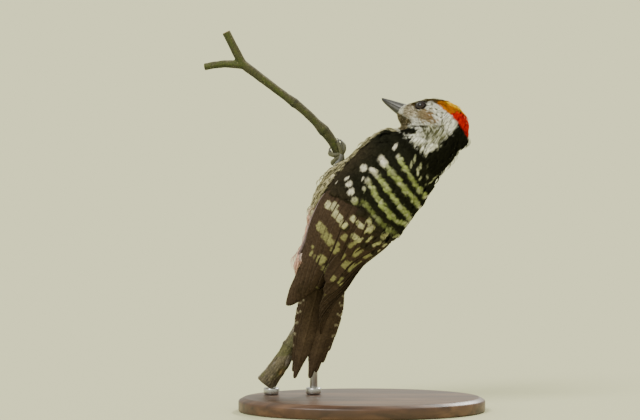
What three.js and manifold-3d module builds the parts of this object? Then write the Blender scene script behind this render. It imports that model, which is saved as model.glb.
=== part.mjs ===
// A brown-fronted woodpecker, life size, clinging upright to a cut length of forked stem, on a plain
// display stand. Millimetres, +Z up, with the origin in the middle of the stand's underside.
import * as THREE from "three";
import { mergeVertices } from "three/addons/utils/BufferGeometryUtils.js";
import Module from "manifold-3d";

// --- driving dimensions ---------------------------------------------------------------------------

const degrees = Math.PI / 180;
const gap = 0.3;

// The bird's own frame: x to its left, y towards its back, z along the spine towards the head.
const bodyPlace = new THREE.Vector3(-1.5, -6, 103.2);
const bodyLean = 42 * degrees;
const bodyTurn = 142 * degrees;

// The coat along the spine: [z, shift left, shift back, half width, depth of back, depth of belly].
const trunkStations = [
  [-62, -4.5, 7, 4.5, 3, 3],
  [-52, -3.5, 6.5, 8.5, 3.5, 4.5],
  [-45, -3.5, 5, 10, 5.5, 8.5],
  [-38, -3.2, 4, 12.5, 7.5, 11.5],
  [-30, -3, 3.5, 15, 9.5, 14],
  [-20, -1.5, 3, 19, 13, 18],
  [-10, -0.5, 2.5, 22, 16, 21],
  [2, 0, 1.5, 23.5, 19.5, 24],
  [14, 0, 2, 22.3, 20, 22],
  [26, 0.3, 3, 21.2, 18.7, 20.5],
  [35, 0.6, 4.5, 18.9, 16.4, 18.4],
  [43, 0.8, 6.8, 15.6, 15.2, 15],
  [50, 0.9, 7.6, 14.2, 15.4, 13.4],
  [56, 0.9, 6, 12.4, 14.4, 11],
];
// The rear is rounded over a short way down to a small flat, and rows crowd a little towards it.
const trunkEnds = { rear: -48, rounding: 7, flat: 0.12, crowding: 1.12, front: 56 };
const shoulderCut = 37;

// The head has a frame of its own, x to its left, y backwards and z up, turned on the neck.
const headPlace = new THREE.Vector3(1.8, 1.1, 56.9);
const headTurn = 30.8 * degrees;
const headPitch = 18.7 * degrees;
const headRoll = -4.9 * degrees;
// Along the head: [forward, height of the middle, half width, rise of crown, drop of chin].
const headStations = [
  [-20.2, -3.6, 2.4, 2.2, 2.2],
  [-18.8, -2.4, 6.6, 5.4, 5],
  [-16, -1.3, 9.9, 9, 7.6],
  [-11.5, 0, 12, 10.8, 10],
  [-5, 0, 12.8, 11.8, 12],
  [1, 0, 12.3, 11.3, 12.2],
  [6.5, -0.3, 10.8, 9.8, 11.4],
  [12, -1, 8, 6.7, 9.6],
  [16.4, -1.6, 5, 3.9, 6.2],
  [19.2, -1.8, 3.1, 2.4, 3.1],
];
const napeCut = { tilt: 30 * degrees, distance: 7.9 };
const bill = {
  root: 14.4,
  tip: 30,
  halfWidth: 3.7,
  halfHeight: 3.8,
  taper: 0.85,
  point: 0.6,
  middle: -1.9,
  gape: 0.12,
};
const eye = { radius: 2.7, forward: 7.1, up: 2.7, side: 7.2 };

// The edges of a folded wing, as angles from the middle of the back: [z, inner edge, outer edge].
const wingEdges = [
  [-62, 40, 84],
  [-50, -18, 88],
  [-40, 2, 90],
  [-30, 6, 89],
  [-16, 7, 87],
  [-3, 28, 89],
  [8, 46, 98],
  [24, 62, 107],
  [38, 70, 108],
];
const wing = {
  thickness: 2.3,
  edgeThickness: 0.4,
  tipThinning: 0.6,
  lift: 1.7 * gap,
  wrist: { inner: 31, outer: 37 },
  covertEnd: { inner: 2, outer: -8 },
  split: 0.56,
  tertialTip: -30,
  secondaryTip: -41,
  primaryTip: -61,
  tipSweep: 0.6,
  slit: 0.012,
  thinsFrom: -32,
  thinsOver: 20,
};
// The right wing's tip lies across on the tail, which is swung to that side.
const rightWingBend = { from: -18, over: 36, aside: 12, raisedBy: -40, raised: 5.5 };

const tailPlace = new THREE.Vector3(-6.5, 4.6, -30);
const tailTurn = -11 * degrees;
const tailPitch = 1.3 * degrees;
const tailRoll = 30 * degrees;
const rectrix = { length: 62, width: 8.4, rootWidth: 3.4, thickness: 0.6, pointFrom: 0.62, tipWidth: 0.8 };
const tail = {
  pairs: 5,
  layer: 0.9,
  rootStep: 0.3,
  fanLeft: 0.8 * degrees,
  fanRight: 2.2 * degrees,
  shorter: 3.2,
  shorterPower: 1.35,
};

// The stem's middle line from its cut lower end to the fork: [x, y, z, radius].
const stemCourse = [
  [-48.5, 11, 12.5, 5.1],
  [-41.5, 10, 22, 4.4],
  [-34.5, 10, 34, 3.7],
  [-24.5, 11, 55, 3.3],
  [-19, 15, 82, 3.0],
  [-14, 17, 105, 2.9],
  [-11.6, 11.5, 128.5, 2.7],
  [-25.3, 8, 147, 2.2],
  [-44, 6, 162, 2.1],
  [-60.5, 5, 174.5, 2.4],
];
const stemBranches = [
  [[-59.5, 5, 173.5, 2.3], [-63.5, 4.6, 181, 2.2], [-68, 4, 190, 2.1]],
  [[-59.5, 5, 173.5, 2.3], [-69, 5.6, 174, 1.9], [-79, 6.5, 172.5, 1.8]],
];
const knotWidth = 0.012;
const stemKnots = [
  { at: 0.2, size: 0.2 },
  { at: 0.47, size: 0.14 },
  { at: 0.735, size: 0.3 },
  { at: 0.83, size: 0.18 },
];

// Where each foot holds the stem, and where its ankle and knee are in the bird's frame.
const legs = [
  { name: "leg_left", grip: 0.669, ankle: [4.6, -24, -3.4], knee: [9, -13, -9], side: 1 },
  { name: "leg_right", grip: 0.525, ankle: [-10, -20, -26], knee: [-10, -7, -22], side: -1 },
];
const foot = { tarsusRadius: 1.25, tarsusBow: 0.6, kneeRadius: 2.6, toeRadius: 0.85, clawLength: 4.2 };
// A claw's arch, from toe to point: [part of its length, height over the stem, radius].
const clawArch = [[0, 0.6, 0.62], [0.35, 1.1, 0.5], [0.75, 0.9, 0.32], [1, 0.25, 0.12]];
// Each toe lies on the stem: [angle round the stem, way up the stem], both at its end.
const toes = [
  [72, 5],
  [20, 6.8],
  [-110, 1.5],
  [-68, -5.5],
];

const standBase = { halfLength: 62, halfDepth: 42, height: 7, bevel: 1.2 };
const standRod = { radius: 2, collarRadius: 4, collarHeight: 3.5 };
const rodPlaces = [
  { name: "stand_rod_lower", x: -45.5, y: 10.4 },
  { name: "stand_rod_upper", x: -24.2, y: 11 },
];

// How many rows and how many points round each shape has.
const fineness = {
  trunk: [24, 30],
  head: [13, 20],
  bill: [9, 12],
  eye: [12, 8],
  coverts: [9, 7],
  secondaries: [7, 5],
  primaries: [12, 5],
  stem: [54, 10],
  branch: [4, 8],
  shank: [9, 8],
  toe: [5, 6],
  claw: [4, 5],
  base: 48,
  rod: 16,
};

// --- closed shapes --------------------------------------------------------------------------------

const wasm = await Module();
wasm.setup();

function lerp(from, to, part) {
  return from + (to - from) * part;
}

function closedGeometry(positions, triangles) {
  const corners = [new THREE.Vector3(), new THREE.Vector3(), new THREE.Vector3()];
  let volume = 0;
  for (let i = 0; i < triangles.length; i += 3) {
    corners.forEach((corner, k) => corner.fromArray(positions, triangles[i + k] * 3));
    volume += corners[0].dot(corners[1].clone().cross(corners[2]));
  }
  const geometry = new THREE.BufferGeometry();
  geometry.setAttribute("position", new THREE.Float32BufferAttribute(positions, 3));
  geometry.setIndex(volume < 0 ? triangles.toReversed() : triangles);
  return geometry;
}

// Skins a row of rings, each with the same number of points, and closes both ends with a fan.
function loft(rings) {
  const around = rings[0].length;
  const positions = rings.flat().flatMap((point) => point.toArray());
  const triangles = [];
  for (let row = 0; row < rings.length - 1; row++) {
    for (let i = 0; i < around; i++) {
      const a = row * around + i;
      const b = row * around + ((i + 1) % around);
      triangles.push(a, b, b + around, a, b + around, a + around);
    }
  }
  for (const row of [0, rings.length - 1]) {
    const middle = new THREE.Vector3();
    rings[row].forEach((point) => middle.addScaledVector(point, 1 / around));
    const hub = positions.length / 3;
    positions.push(...middle.toArray());
    for (let i = 0; i < around; i++) {
      const a = row * around + i;
      const b = row * around + ((i + 1) % around);
      triangles.push(hub, row === 0 ? b : a, row === 0 ? a : b);
    }
  }
  return closedGeometry(positions, triangles);
}

function ringOf(count, pointAt) {
  return Array.from({ length: count }, (_, i) => pointAt((i / count) * 2 * Math.PI));
}

// Reads a table of stations smoothly: gives its row of values at any place along it.
function profile(stations) {
  const places = stations.map((station) => station[0]);
  const values = stations.flatMap((station) => station.slice(1));
  const curve = new THREE.CubicInterpolant(places, values, stations[0].length - 1);
  return (place) => Array.from(curve.evaluate(place));
}

function solidOf(geometry) {
  const plain = geometry.clone();
  plain.deleteAttribute("normal");
  plain.deleteAttribute("uv");
  const merged = mergeVertices(plain, 1e-4);
  const closed = closedGeometry(Array.from(merged.attributes.position.array), Array.from(merged.index.array));
  return new wasm.Manifold(new wasm.Mesh({
    numProp: 3,
    vertProperties: closed.attributes.position.array,
    triVerts: new Uint32Array(closed.index.array),
  }));
}

function geometryOf(solid) {
  const mesh = solid.getMesh();
  const geometry = new THREE.BufferGeometry();
  geometry.setAttribute("position", new THREE.Float32BufferAttribute(mesh.vertProperties, 3));
  geometry.setIndex(new THREE.Uint32BufferAttribute(mesh.triVerts, 1));
  return geometry;
}

// The largest body of a cut solid, without the crumbs that a cut leaves.
function mainBody(solid) {
  return solid.decompose().reduce((most, body) => (body.volume() > most.volume() ? body : most));
}

// A round limb through rows of [x, y, z, radius]. swell(part of its length) widens it.
function limb(rows, [steps, around], swell = () => 1) {
  const line = new THREE.CatmullRomCurve3(rows.map((row) => new THREE.Vector3(...row)));
  const radiusAt = profile(rows.map((row, i) => [i / (rows.length - 1), row[3]]));
  const start = line.getTangent(0);
  const across = new THREE.Vector3(start.y, start.z, start.x).cross(start);
  const rings = Array.from({ length: steps + 1 }, (_, i) => {
    const part = i / steps;
    const middle = line.getPoint(part);
    const along = line.getTangent(part);
    across.addScaledVector(along, -across.dot(along)).normalize();
    const rise = new THREE.Vector3().crossVectors(along, across);
    const radius = radiusAt(part)[0] * swell(part);
    return ringOf(around, (angle) => middle.clone()
      .addScaledVector(across, radius * Math.cos(angle))
      .addScaledVector(rise, radius * Math.sin(angle)));
  });
  return loft(rings);
}

function paint(colour, roughness, metalness = 0) {
  return new THREE.MeshStandardMaterial({ color: colour, roughness, metalness });
}

const finish = {
  head: paint(0xa89c78, 0.9),
  neck: paint(0xb8b498, 0.9),
  trunk: paint(0x2a2620, 0.9),
  coverts: paint(0x362a1e, 0.85),
  flight: paint(0x44362a, 0.8),
  tail: paint(0x46352a, 0.8),
  horn: paint(0x5a564c, 0.5),
  skin: paint(0x7c7c68, 0.65),
  eyeball: paint(0x2a1512, 0.1),
  bark: paint(0x6b6a45, 0.9),
  wood: paint(0x5b3a24, 0.6),
  steel: paint(0x9a9a98, 0.35, 1),
};

function named(name, geometry, material) {
  geometry.computeVertexNormals();
  const mesh = new THREE.Mesh(geometry, material);
  mesh.name = name;
  return mesh;
}

// --- trunk, neck and head -------------------------------------------------------------------------

const trunkAt = profile(trunkStations);

// A point of the coat at height z, at an angle from the middle of the back towards the left.
function coatPoint(z, angle, outwards = 0) {
  const [left, back, halfWidth, backDepth, bellyDepth] = trunkAt(z);
  const depth = Math.cos(angle) > 0 ? backDepth : bellyDepth;
  const x = left + (halfWidth + outwards) * Math.sin(angle);
  const y = back + (depth + outwards) * Math.cos(angle);
  return new THREE.Vector3(x, y, z);
}

function trunkGeometry(outwards) {
  const [rows, around] = fineness.trunk;
  const rear = trunkEnds.rear - outwards;
  return loft(Array.from({ length: rows + 1 }, (_, row) => {
    const z = lerp(rear, trunkEnds.front, (row / rows) ** trunkEnds.crowding);
    const short = Math.max(0, 1 - (z - rear) / trunkEnds.rounding);
    const close = lerp(trunkEnds.flat, 1, Math.sqrt(1 - short ** 2));
    const [left, back] = trunkAt(z);
    return ringOf(around, (angle) => {
      const point = coatPoint(z, angle, outwards);
      return point.set(lerp(left, point.x, close), lerp(back, point.y, close), z);
    });
  }));
}

const headAt = profile(headStations);
const headMatrix = new THREE.Matrix4().makeRotationFromEuler(
  new THREE.Euler(headPitch, headRoll, headTurn, "ZXY"),
).setPosition(headPlace);

function headGeometry() {
  const [rows, around] = fineness.head;
  return loft(Array.from({ length: rows + 1 }, (_, row) => {
    const forward = lerp(headStations[0][0], headStations.at(-1)[0], row / rows);
    const [middle, halfWidth, crown, chin] = headAt(forward);
    return ringOf(around, (angle) => {
      const height = Math.sin(angle) > 0 ? crown : chin;
      return new THREE.Vector3(halfWidth * Math.cos(angle), -forward, middle + height * Math.sin(angle));
    });
  }));
}

// The side of a plane where the normal points, as a block large enough for any piece of the bird.
function halfSpace(normal, distance) {
  const reach = 200;
  const block = new THREE.BoxGeometry(reach, reach, reach).translate(0, 0, reach / 2);
  block.applyQuaternion(new THREE.Quaternion().setFromUnitVectors(new THREE.Vector3(0, 0, 1), normal));
  return block.translate(...normal.clone().multiplyScalar(distance).toArray());
}

// The two sides of a plane, apart by the width of the cut.
function bothSides(normal, distance, cut, matrix) {
  const past = halfSpace(normal, distance + cut / 2).applyMatrix4(matrix);
  const before = halfSpace(normal.clone().negate(), cut / 2 - distance).applyMatrix4(matrix);
  return { past: solidOf(past), before: solidOf(before) };
}

function billParts() {
  const [rows, around] = fineness.bill;
  const whole = solidOf(loft(Array.from({ length: rows + 1 }, (_, row) => {
    const forward = lerp(bill.root, bill.tip, row / rows);
    const taper = (1 - row / rows) ** bill.taper;
    const halfWidth = lerp(bill.point, bill.halfWidth, taper);
    const halfHeight = lerp(bill.point, bill.halfHeight, taper);
    return ringOf(around, (angle) => new THREE.Vector3(
      halfWidth * Math.cos(angle),
      -forward,
      bill.middle * taper + halfHeight * Math.sin(angle),
    ));
  })).applyMatrix4(headMatrix));
  const slope = Math.atan2(bill.middle, bill.tip - bill.root);
  const up = new THREE.Vector3(0, Math.sin(slope), Math.cos(slope));
  const distance = up.z * bill.middle - up.y * bill.root;
  const sides = bothSides(up, distance, 2 * bill.gape, headMatrix);
  return { whole, upper: whole.intersect(sides.past), lower: whole.intersect(sides.before) };
}

function eyeGeometry(side, outwards) {
  const sphere = new THREE.SphereGeometry(eye.radius + outwards, ...fineness.eye);
  return sphere.translate(side * eye.side, -eye.forward, eye.up).applyMatrix4(headMatrix);
}

function fleshParts(billWhole) {
  const trunkWhole = solidOf(trunkGeometry(0));
  const headWhole = solidOf(headGeometry().applyMatrix4(headMatrix));
  const flesh = trunkWhole.add(headWhole);
  const throat = new THREE.Vector3(0, Math.sin(napeCut.tilt), -Math.cos(napeCut.tilt));
  const nape = bothSides(throat, napeCut.distance, gap, headMatrix);
  const shoulder = bothSides(new THREE.Vector3(0, 0, 1), shoulderCut, gap, new THREE.Matrix4());
  let head = flesh.intersect(nape.before).intersect(shoulder.past);
  for (const side of [1, -1]) {
    head = head.subtract(solidOf(eyeGeometry(side, gap)));
  }
  return {
    head: head.subtract(billWhole),
    neck: flesh.intersect(nape.past).intersect(shoulder.past),
    trunk: flesh.intersect(shoulder.before),
  };
}

// --- wings ----------------------------------------------------------------------------------------

const wingEdgesAt = profile(wingEdges);

function wingPoint(side, z, angle, outwards) {
  const point = coatPoint(z, side * angle, outwards);
  if (side < 0) {
    const past = Math.max(0, (rightWingBend.from - z) / rightWingBend.over) ** 2;
    point.x -= past * rightWingBend.aside;
    point.y += rightWingBend.raised * THREE.MathUtils.smoothstep(-z, -rightWingBend.from, -rightWingBend.raisedBy);
  }
  return point;
}

// One layer of feathers of a folded wing: a shell on the coat, over a part of the wing's width.
function wingShell(side, [rows, columns], from, to, endsAt) {
  const layers = [[], []];
  for (let i = 0; i <= rows; i++) {
    for (let j = 0; j <= columns; j++) {
      const across = lerp(from, to, j / columns);
      const [front, rear] = endsAt(across);
      const z = lerp(front, rear, i / rows);
      const [inner, outer] = wingEdgesAt(z);
      const angle = lerp(inner, outer, across) * degrees;
      const rounding = lerp(wing.edgeThickness, 1, Math.sqrt(Math.max(0, Math.sin(Math.PI * across))));
      const thinning = 1 - wing.tipThinning * THREE.MathUtils.clamp((wing.thinsFrom - z) / wing.thinsOver, 0, 1);
      layers[0].push(wingPoint(side, z, angle, wing.lift));
      layers[1].push(wingPoint(side, z, angle, wing.lift + wing.thickness * rounding * thinning));
    }
  }
  const positions = layers.flat().flatMap((point) => point.toArray());
  const triangles = [];
  const quad = (a, b, c, d) => triangles.push(a, b, c, a, c, d);
  const wide = columns + 1;
  const over = (rows + 1) * wide;
  for (let i = 0; i < rows; i++) {
    for (let j = 0; j < columns; j++) {
      const a = i * wide + j;
      quad(a, a + 1, a + wide + 1, a + wide);
      quad(over + a, over + a + wide, over + a + wide + 1, over + a + 1);
    }
    const first = i * wide;
    const last = first + columns;
    quad(first, first + wide, over + first + wide, over + first);
    quad(last, over + last, over + last + wide, last + wide);
  }
  for (let j = 0; j < columns; j++) {
    const last = rows * wide + j;
    quad(j, over + j, over + j + 1, j + 1);
    quad(last, last + 1, over + last + 1, over + last);
  }
  return solidOf(closedGeometry(positions, triangles));
}

function wingParts(side) {
  const covertEnd = (across) => lerp(wing.covertEnd.inner, wing.covertEnd.outer, across);
  const wrist = (across) => lerp(wing.wrist.inner, wing.wrist.outer, Math.sqrt(across));
  const innerTip = (across) => lerp(wing.tertialTip, wing.secondaryTip, across / wing.split);
  const outerTip = (across) => {
    const part = (across - wing.split) / (1 - wing.split);
    return lerp(wing.secondaryTip, wing.primaryTip, Math.max(0, part) ** wing.tipSweep);
  };
  return {
    coverts: wingShell(side, fineness.coverts, 0, 1, (across) => [wrist(across), covertEnd(across)]),
    secondaries: wingShell(side, fineness.secondaries, 0, wing.split - wing.slit,
      (across) => [covertEnd(across) - gap, innerTip(across)]),
    primaries: wingShell(side, fineness.primaries, wing.split + wing.slit, 1,
      (across) => [covertEnd(across) - gap, outerTip(across)]),
  };
}

// --- tail -----------------------------------------------------------------------------------------

const tailMatrix = new THREE.Matrix4().makeRotationFromEuler(
  new THREE.Euler(tailPitch, tailRoll, tailTurn, "ZXY"),
).setPosition(tailPlace);

// A stiff tail feather in the tail's x-z plane: narrow root, parallel sides, drawn out to a point.
function rectrixGeometry(side, pair) {
  const length = rectrix.length - tail.shorter * pair ** tail.shorterPower;
  const half = rectrix.width / 2;
  const root = rectrix.rootWidth / 2;
  const point = rectrix.tipWidth / 2;
  const outline = new THREE.Shape();
  outline.moveTo(-root, 0);
  outline.bezierCurveTo(-half, -0.2 * length, -half, -0.4 * length, -half, -rectrix.pointFrom * length);
  outline.bezierCurveTo(-half, -0.8 * length, -2 * point, -0.92 * length, -point, -length);
  outline.lineTo(point, -length);
  outline.bezierCurveTo(2 * point, -0.92 * length, half, -0.8 * length, half, -rectrix.pointFrom * length);
  outline.bezierCurveTo(half, -0.4 * length, half, -0.2 * length, root, 0);
  const options = { depth: rectrix.thickness, bevelEnabled: false, curveSegments: 4 };
  const geometry = new THREE.ExtrudeGeometry(outline, options);
  geometry.rotateX(Math.PI / 2);
  geometry.translate(0, tail.layer * (tail.pairs / 2 - pair), 0);
  geometry.rotateY(-side * pair * (side > 0 ? tail.fanLeft : tail.fanRight));
  const aside = half + gap / 2 + tail.rootStep * pair;
  return geometry.translate(side * aside, 0, 0).applyMatrix4(tailMatrix);
}

// The space that the tail's feathers take, cut out of the coat and wings round their roots.
function tailSpace() {
  const depth = tail.layer * tail.pairs + 2 * gap;
  const reach = rectrix.length;
  const narrow = rectrix.width + 1;
  const wide = narrow + 1 + reach * Math.sin(tail.fanRight * tail.pairs);
  const outline = new THREE.Shape([
    new THREE.Vector2(-narrow, 1),
    new THREE.Vector2(-wide, -reach),
    new THREE.Vector2(wide, -reach),
    new THREE.Vector2(narrow, 1),
  ]);
  const block = new THREE.ExtrudeGeometry(outline, { depth, bevelEnabled: false });
  block.rotateX(Math.PI / 2);
  block.translate(0, tail.layer * (tail.pairs / 2) + gap, 0);
  return solidOf(block.applyMatrix4(tailMatrix));
}

// --- perch, legs and stand ------------------------------------------------------------------------

const stemLine = new THREE.CatmullRomCurve3(stemCourse.map((row) => new THREE.Vector3(...row)));
const stemRadiusAt = profile(stemCourse.map((row, i) => [i / (stemCourse.length - 1), row[3]]));

function knotSwell(part) {
  return stemKnots.reduce(
    (swell, knot) => swell + knot.size * Math.exp(-(((part - knot.at) / knotWidth) ** 2)),
    1,
  );
}

function perchSolid(outwards) {
  const wider = (row) => [row[0], row[1], row[2], row[3] + outwards];
  let perch = solidOf(limb(stemCourse.map(wider), fineness.stem, knotSwell));
  for (const branch of stemBranches) {
    perch = perch.add(solidOf(limb(branch.map(wider), fineness.branch)));
  }
  return perch;
}

// A toe with its claw: it starts under the foot, winds round the stem and ends with the point down.
function toeSolid(grip, palm, toe) {
  const along = stemLine.getTangent(grip);
  const outward = palm.clone().sub(stemLine.getPoint(grip)).normalize();
  const stemLength = stemLine.getLength();
  const rest = (angle, up, above) => {
    const part = grip + up / stemLength;
    const turned = outward.clone().applyAxisAngle(along, angle * degrees);
    const reach = stemRadiusAt(part)[0] * knotSwell(part) + gap + above;
    return stemLine.getPoint(part).addScaledVector(turned, reach).toArray();
  };
  const [angle, up] = toe;
  const radius = foot.toeRadius;
  const toeRows = [0, 0.35, 0.7, 1].map((part) => [
    ...rest(angle * part, up * part, radius + 0.35 * Math.sin(Math.PI * part) + 0.3 * (1 - part)),
    radius * (1.1 - 0.2 * part),
  ]);
  const clawAngle = Math.sign(angle) * (foot.clawLength / stemRadiusAt(grip)[0] / degrees) * 0.45;
  const clawUp = Math.sign(up) * foot.clawLength * 0.5;
  const clawRows = clawArch.map(
    ([part, above, thick]) => [...rest(angle + clawAngle * part, up + clawUp * part, above), thick],
  );
  return solidOf(limb(toeRows, fineness.toe)).add(solidOf(limb(clawRows, fineness.claw)));
}

function legSolid(leg, birdMatrix) {
  const along = stemLine.getTangent(leg.grip);
  const ankle = new THREE.Vector3(...leg.ankle).applyMatrix4(birdMatrix);
  const knee = new THREE.Vector3(...leg.knee).applyMatrix4(birdMatrix);
  const onStem = stemLine.getPoint(leg.grip);
  const outward = new THREE.Vector3(0, 1, 0).transformDirection(birdMatrix);
  outward.addScaledVector(along, -outward.dot(along)).normalize();
  const standing = stemRadiusAt(leg.grip)[0] + gap + foot.tarsusRadius;
  const palm = onStem.clone().addScaledVector(outward, standing);
  const tarsusRows = [
    [...palm.toArray(), foot.tarsusRadius * 1.15],
    [...palm.clone().lerp(ankle, 0.5).addScaledVector(outward, foot.tarsusBow).toArray(), foot.tarsusRadius],
    [...ankle.toArray(), foot.tarsusRadius * 1.35],
    [...knee.toArray(), foot.kneeRadius],
  ];
  let solid = solidOf(limb(tarsusRows, fineness.shank));
  for (const [angle, up] of toes) {
    solid = solid.add(toeSolid(leg.grip, palm, [leg.side * angle, up]));
  }
  return solid;
}

// A round piece standing on the z axis, from its [radius, height] section.
function turned(section, segments) {
  const lathe = new THREE.LatheGeometry(section.map((row) => new THREE.Vector2(...row)), segments);
  return lathe.rotateX(Math.PI / 2);
}

function basePlate() {
  const { halfLength, halfDepth, height, bevel } = standBase;
  const plate = turned([
    [0, 0],
    [halfLength - bevel / 2, 0],
    [halfLength, bevel / 2],
    [halfLength, height - bevel],
    [halfLength - bevel, height],
    [0, height],
  ], fineness.base);
  return solidOf(plate.scale(1, halfDepth / halfLength, 1));
}

// A rod with a collar at its foot, long enough to reach the stem, its top cut to fit beneath it.
function rodSolid(place, perchRoom) {
  const foot = standBase.height + gap;
  const below = stemLine.getPoints(400).reduce((best, point) => {
    return Math.abs(point.x - place.x) < Math.abs(best.x - place.x) && point.z < 100 ? point : best;
  });
  const rod = turned([
    [0, foot],
    [standRod.collarRadius, foot],
    [standRod.collarRadius, foot + standRod.collarHeight * 0.7],
    [standRod.radius, foot + standRod.collarHeight],
    [standRod.radius, below.z],
    [0, below.z],
  ], fineness.rod);
  return solidOf(rod.translate(place.x, place.y, 0)).subtract(perchRoom);
}

// --- the model ------------------------------------------------------------------------------------

const model = new THREE.Group();
const bird = new THREE.Group();
bird.position.copy(bodyPlace);
bird.rotation.set(0, bodyLean, -bodyTurn, "YXZ");
bird.updateMatrixWorld(true);
model.add(bird);

function addToBird(name, solid, material) {
  bird.add(named(name, geometryOf(solid), material));
}

const billHalves = billParts();
const flesh = fleshParts(billHalves.whole);
const tailRoom = tailSpace();
addToBird("head", flesh.head, finish.head);
addToBird("neck", flesh.neck, finish.neck);
addToBird("trunk", mainBody(flesh.trunk.subtract(tailRoom)), finish.trunk);
addToBird("bill_upper", billHalves.upper, finish.horn);
addToBird("bill_lower", billHalves.lower, finish.horn);

for (const [side, word] of [[1, "left"], [-1, "right"]]) {
  bird.add(named(`eye_${word}`, geometryOf(solidOf(eyeGeometry(side, 0))), finish.eyeball));
  const parts = wingParts(side);
  addToBird(`wing_${word}_coverts`, parts.coverts, finish.coverts);
  addToBird(`wing_${word}_secondaries`, mainBody(parts.secondaries.subtract(tailRoom)), finish.flight);
  addToBird(`wing_${word}_primaries`, mainBody(parts.primaries.subtract(tailRoom)), finish.flight);
  for (let pair = 0; pair < tail.pairs; pair++) {
    const name = `tail_feather_${word}_${pair + 1}`;
    addToBird(name, solidOf(rectrixGeometry(side, pair)), finish.tail);
  }
}

const perchRoom = perchSolid(gap);
const fleshRoom = solidOf(trunkGeometry(gap).applyMatrix4(bird.matrixWorld));
for (const leg of legs) {
  const solid = mainBody(legSolid(leg, bird.matrixWorld).subtract(fleshRoom).subtract(perchRoom));
  model.add(named(leg.name, geometryOf(solid), finish.skin));
}

model.add(named("perch", geometryOf(perchSolid(0)), finish.bark));
model.add(named("stand_base", geometryOf(basePlate()), finish.wood));
for (const place of rodPlaces) {
  model.add(named(place.name, geometryOf(rodSolid(place, perchRoom)), finish.steel));
}

export default model;
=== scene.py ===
# A brown-fronted woodpecker, life size, clinging to a cut stem on a plain oval stand, as a museum
# would show it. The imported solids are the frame, and the skin, the feathers and the finishes are
# made here in the order in which such a model is put together.
import math

import bmesh
import bpy
import numpy as np
from mathutils import Matrix, Vector
from mathutils import noise as mathutils_noise
from mathutils.bvhtree import BVHTree
from mathutils.kdtree import KDTree


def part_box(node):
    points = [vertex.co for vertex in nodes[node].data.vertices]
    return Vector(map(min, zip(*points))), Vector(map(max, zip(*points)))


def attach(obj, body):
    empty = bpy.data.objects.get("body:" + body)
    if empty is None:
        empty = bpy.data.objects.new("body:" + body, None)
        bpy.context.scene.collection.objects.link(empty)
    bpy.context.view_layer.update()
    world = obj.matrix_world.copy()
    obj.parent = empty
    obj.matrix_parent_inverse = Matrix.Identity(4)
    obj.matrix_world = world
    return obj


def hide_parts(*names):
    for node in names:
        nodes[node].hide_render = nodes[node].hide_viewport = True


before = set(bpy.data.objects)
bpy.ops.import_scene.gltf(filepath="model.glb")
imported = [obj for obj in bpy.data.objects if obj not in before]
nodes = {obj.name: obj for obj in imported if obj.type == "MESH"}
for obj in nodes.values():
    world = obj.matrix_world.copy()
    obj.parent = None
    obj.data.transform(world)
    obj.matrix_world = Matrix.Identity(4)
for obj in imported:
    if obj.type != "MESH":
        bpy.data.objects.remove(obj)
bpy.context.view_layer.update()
mm = 0.001

# --- The table and the light ----------------------------------------------------------------------
# A pale seamless floor under an even sky, with one broad lamp from the upper left and one from
# behind that draws a thin bright edge round the bird. The long lens looks almost level along +Y.
bpy.ops.object.select_all(action="DESELECT")
bpy.ops.mesh.primitive_plane_add(size=400, location=(0, 0, -0.0002))
floor = bpy.context.object
floor.name = "studio_floor"
floor_paint = bpy.data.materials.new("pale floor")
floor_paint.use_nodes = True
floor_shader = floor_paint.node_tree.nodes["Principled BSDF"]
floor_shader.inputs["Base Color"].default_value = (0.62, 0.62, 0.40, 1)
floor_shader.inputs["Roughness"].default_value = 1
floor_shader.inputs["Specular IOR Level"].default_value = 0
floor.data.materials.append(floor_paint)

studio = bpy.data.worlds.new("studio")
studio.use_nodes = True
studio.node_tree.nodes["Background"].inputs["Color"].default_value = (0.92, 0.92, 0.78, 1)
studio.node_tree.nodes["Background"].inputs["Strength"].default_value = 0.95
bpy.context.scene.world = studio

# Each lamp's place, spread in degrees, power and colour.
lamps = {
    "key lamp": ((-0.5, -0.75, 0.9), 22, 2.3, (1.0, 0.98, 0.93)),
    "edge lamp": ((0.45, 0.8, 0.75), 12, 2.4, (1.0, 1.0, 0.94)),
}
for lamp_name, (place, spread, power, tint) in lamps.items():
    bpy.ops.object.light_add(type="SUN", location=place)
    lamp = bpy.context.object
    lamp.name = lamp_name
    lamp.data.angle = math.radians(spread)
    lamp.data.energy = power
    lamp.data.color = tint
    lamp.rotation_euler = (-Vector(place)).to_track_quat("-Z", "Y").to_euler()

view_height = math.radians(3.5)
view_centre = Vector((-0.021, 0, 0.101))
view_distance = 1.78
bpy.ops.object.camera_add()
camera = bpy.context.object
camera.name = "camera"
camera.data.lens = 200
camera.data.sensor_width = 36
camera.data.clip_end = 1000
toward = Vector((0, -math.cos(view_height), math.sin(view_height)))
camera.location = view_centre + toward * view_distance
camera.rotation_euler = (-toward).to_track_quat("-Z", "Y").to_euler()
bpy.context.scene.camera = camera

# --- The stand: an oval walnut base with two steel rods ---------------------------------------------
# The base is a turned and waxed oval plate with a stepped, rounded edge. Two brushed steel rods,
# each with a collar, stand in it and carry the stem from below.
wood_colours = [(0.030, 0.013, 0.006), (0.085, 0.038, 0.017), (0.150, 0.074, 0.035)]
rim_width, rim_drop, rim_round = 3 * mm, 1.6 * mm, 0.7 * mm
rod_radius, rod_round = 2 * mm, 0.25 * mm
collar_height, collar_round = 3.2 * mm, 0.6 * mm


def new_group(name, inputs, outputs):
    group = bpy.data.node_groups.new(name, "ShaderNodeTree")
    for socket, kind, value in inputs:
        made = group.interface.new_socket(socket, in_out="INPUT", socket_type=kind)
        made.default_value = value
    for socket, kind in outputs:
        group.interface.new_socket(socket, in_out="OUTPUT", socket_type=kind)
    return group, group.nodes.new("NodeGroupInput"), group.nodes.new("NodeGroupOutput")


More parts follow.
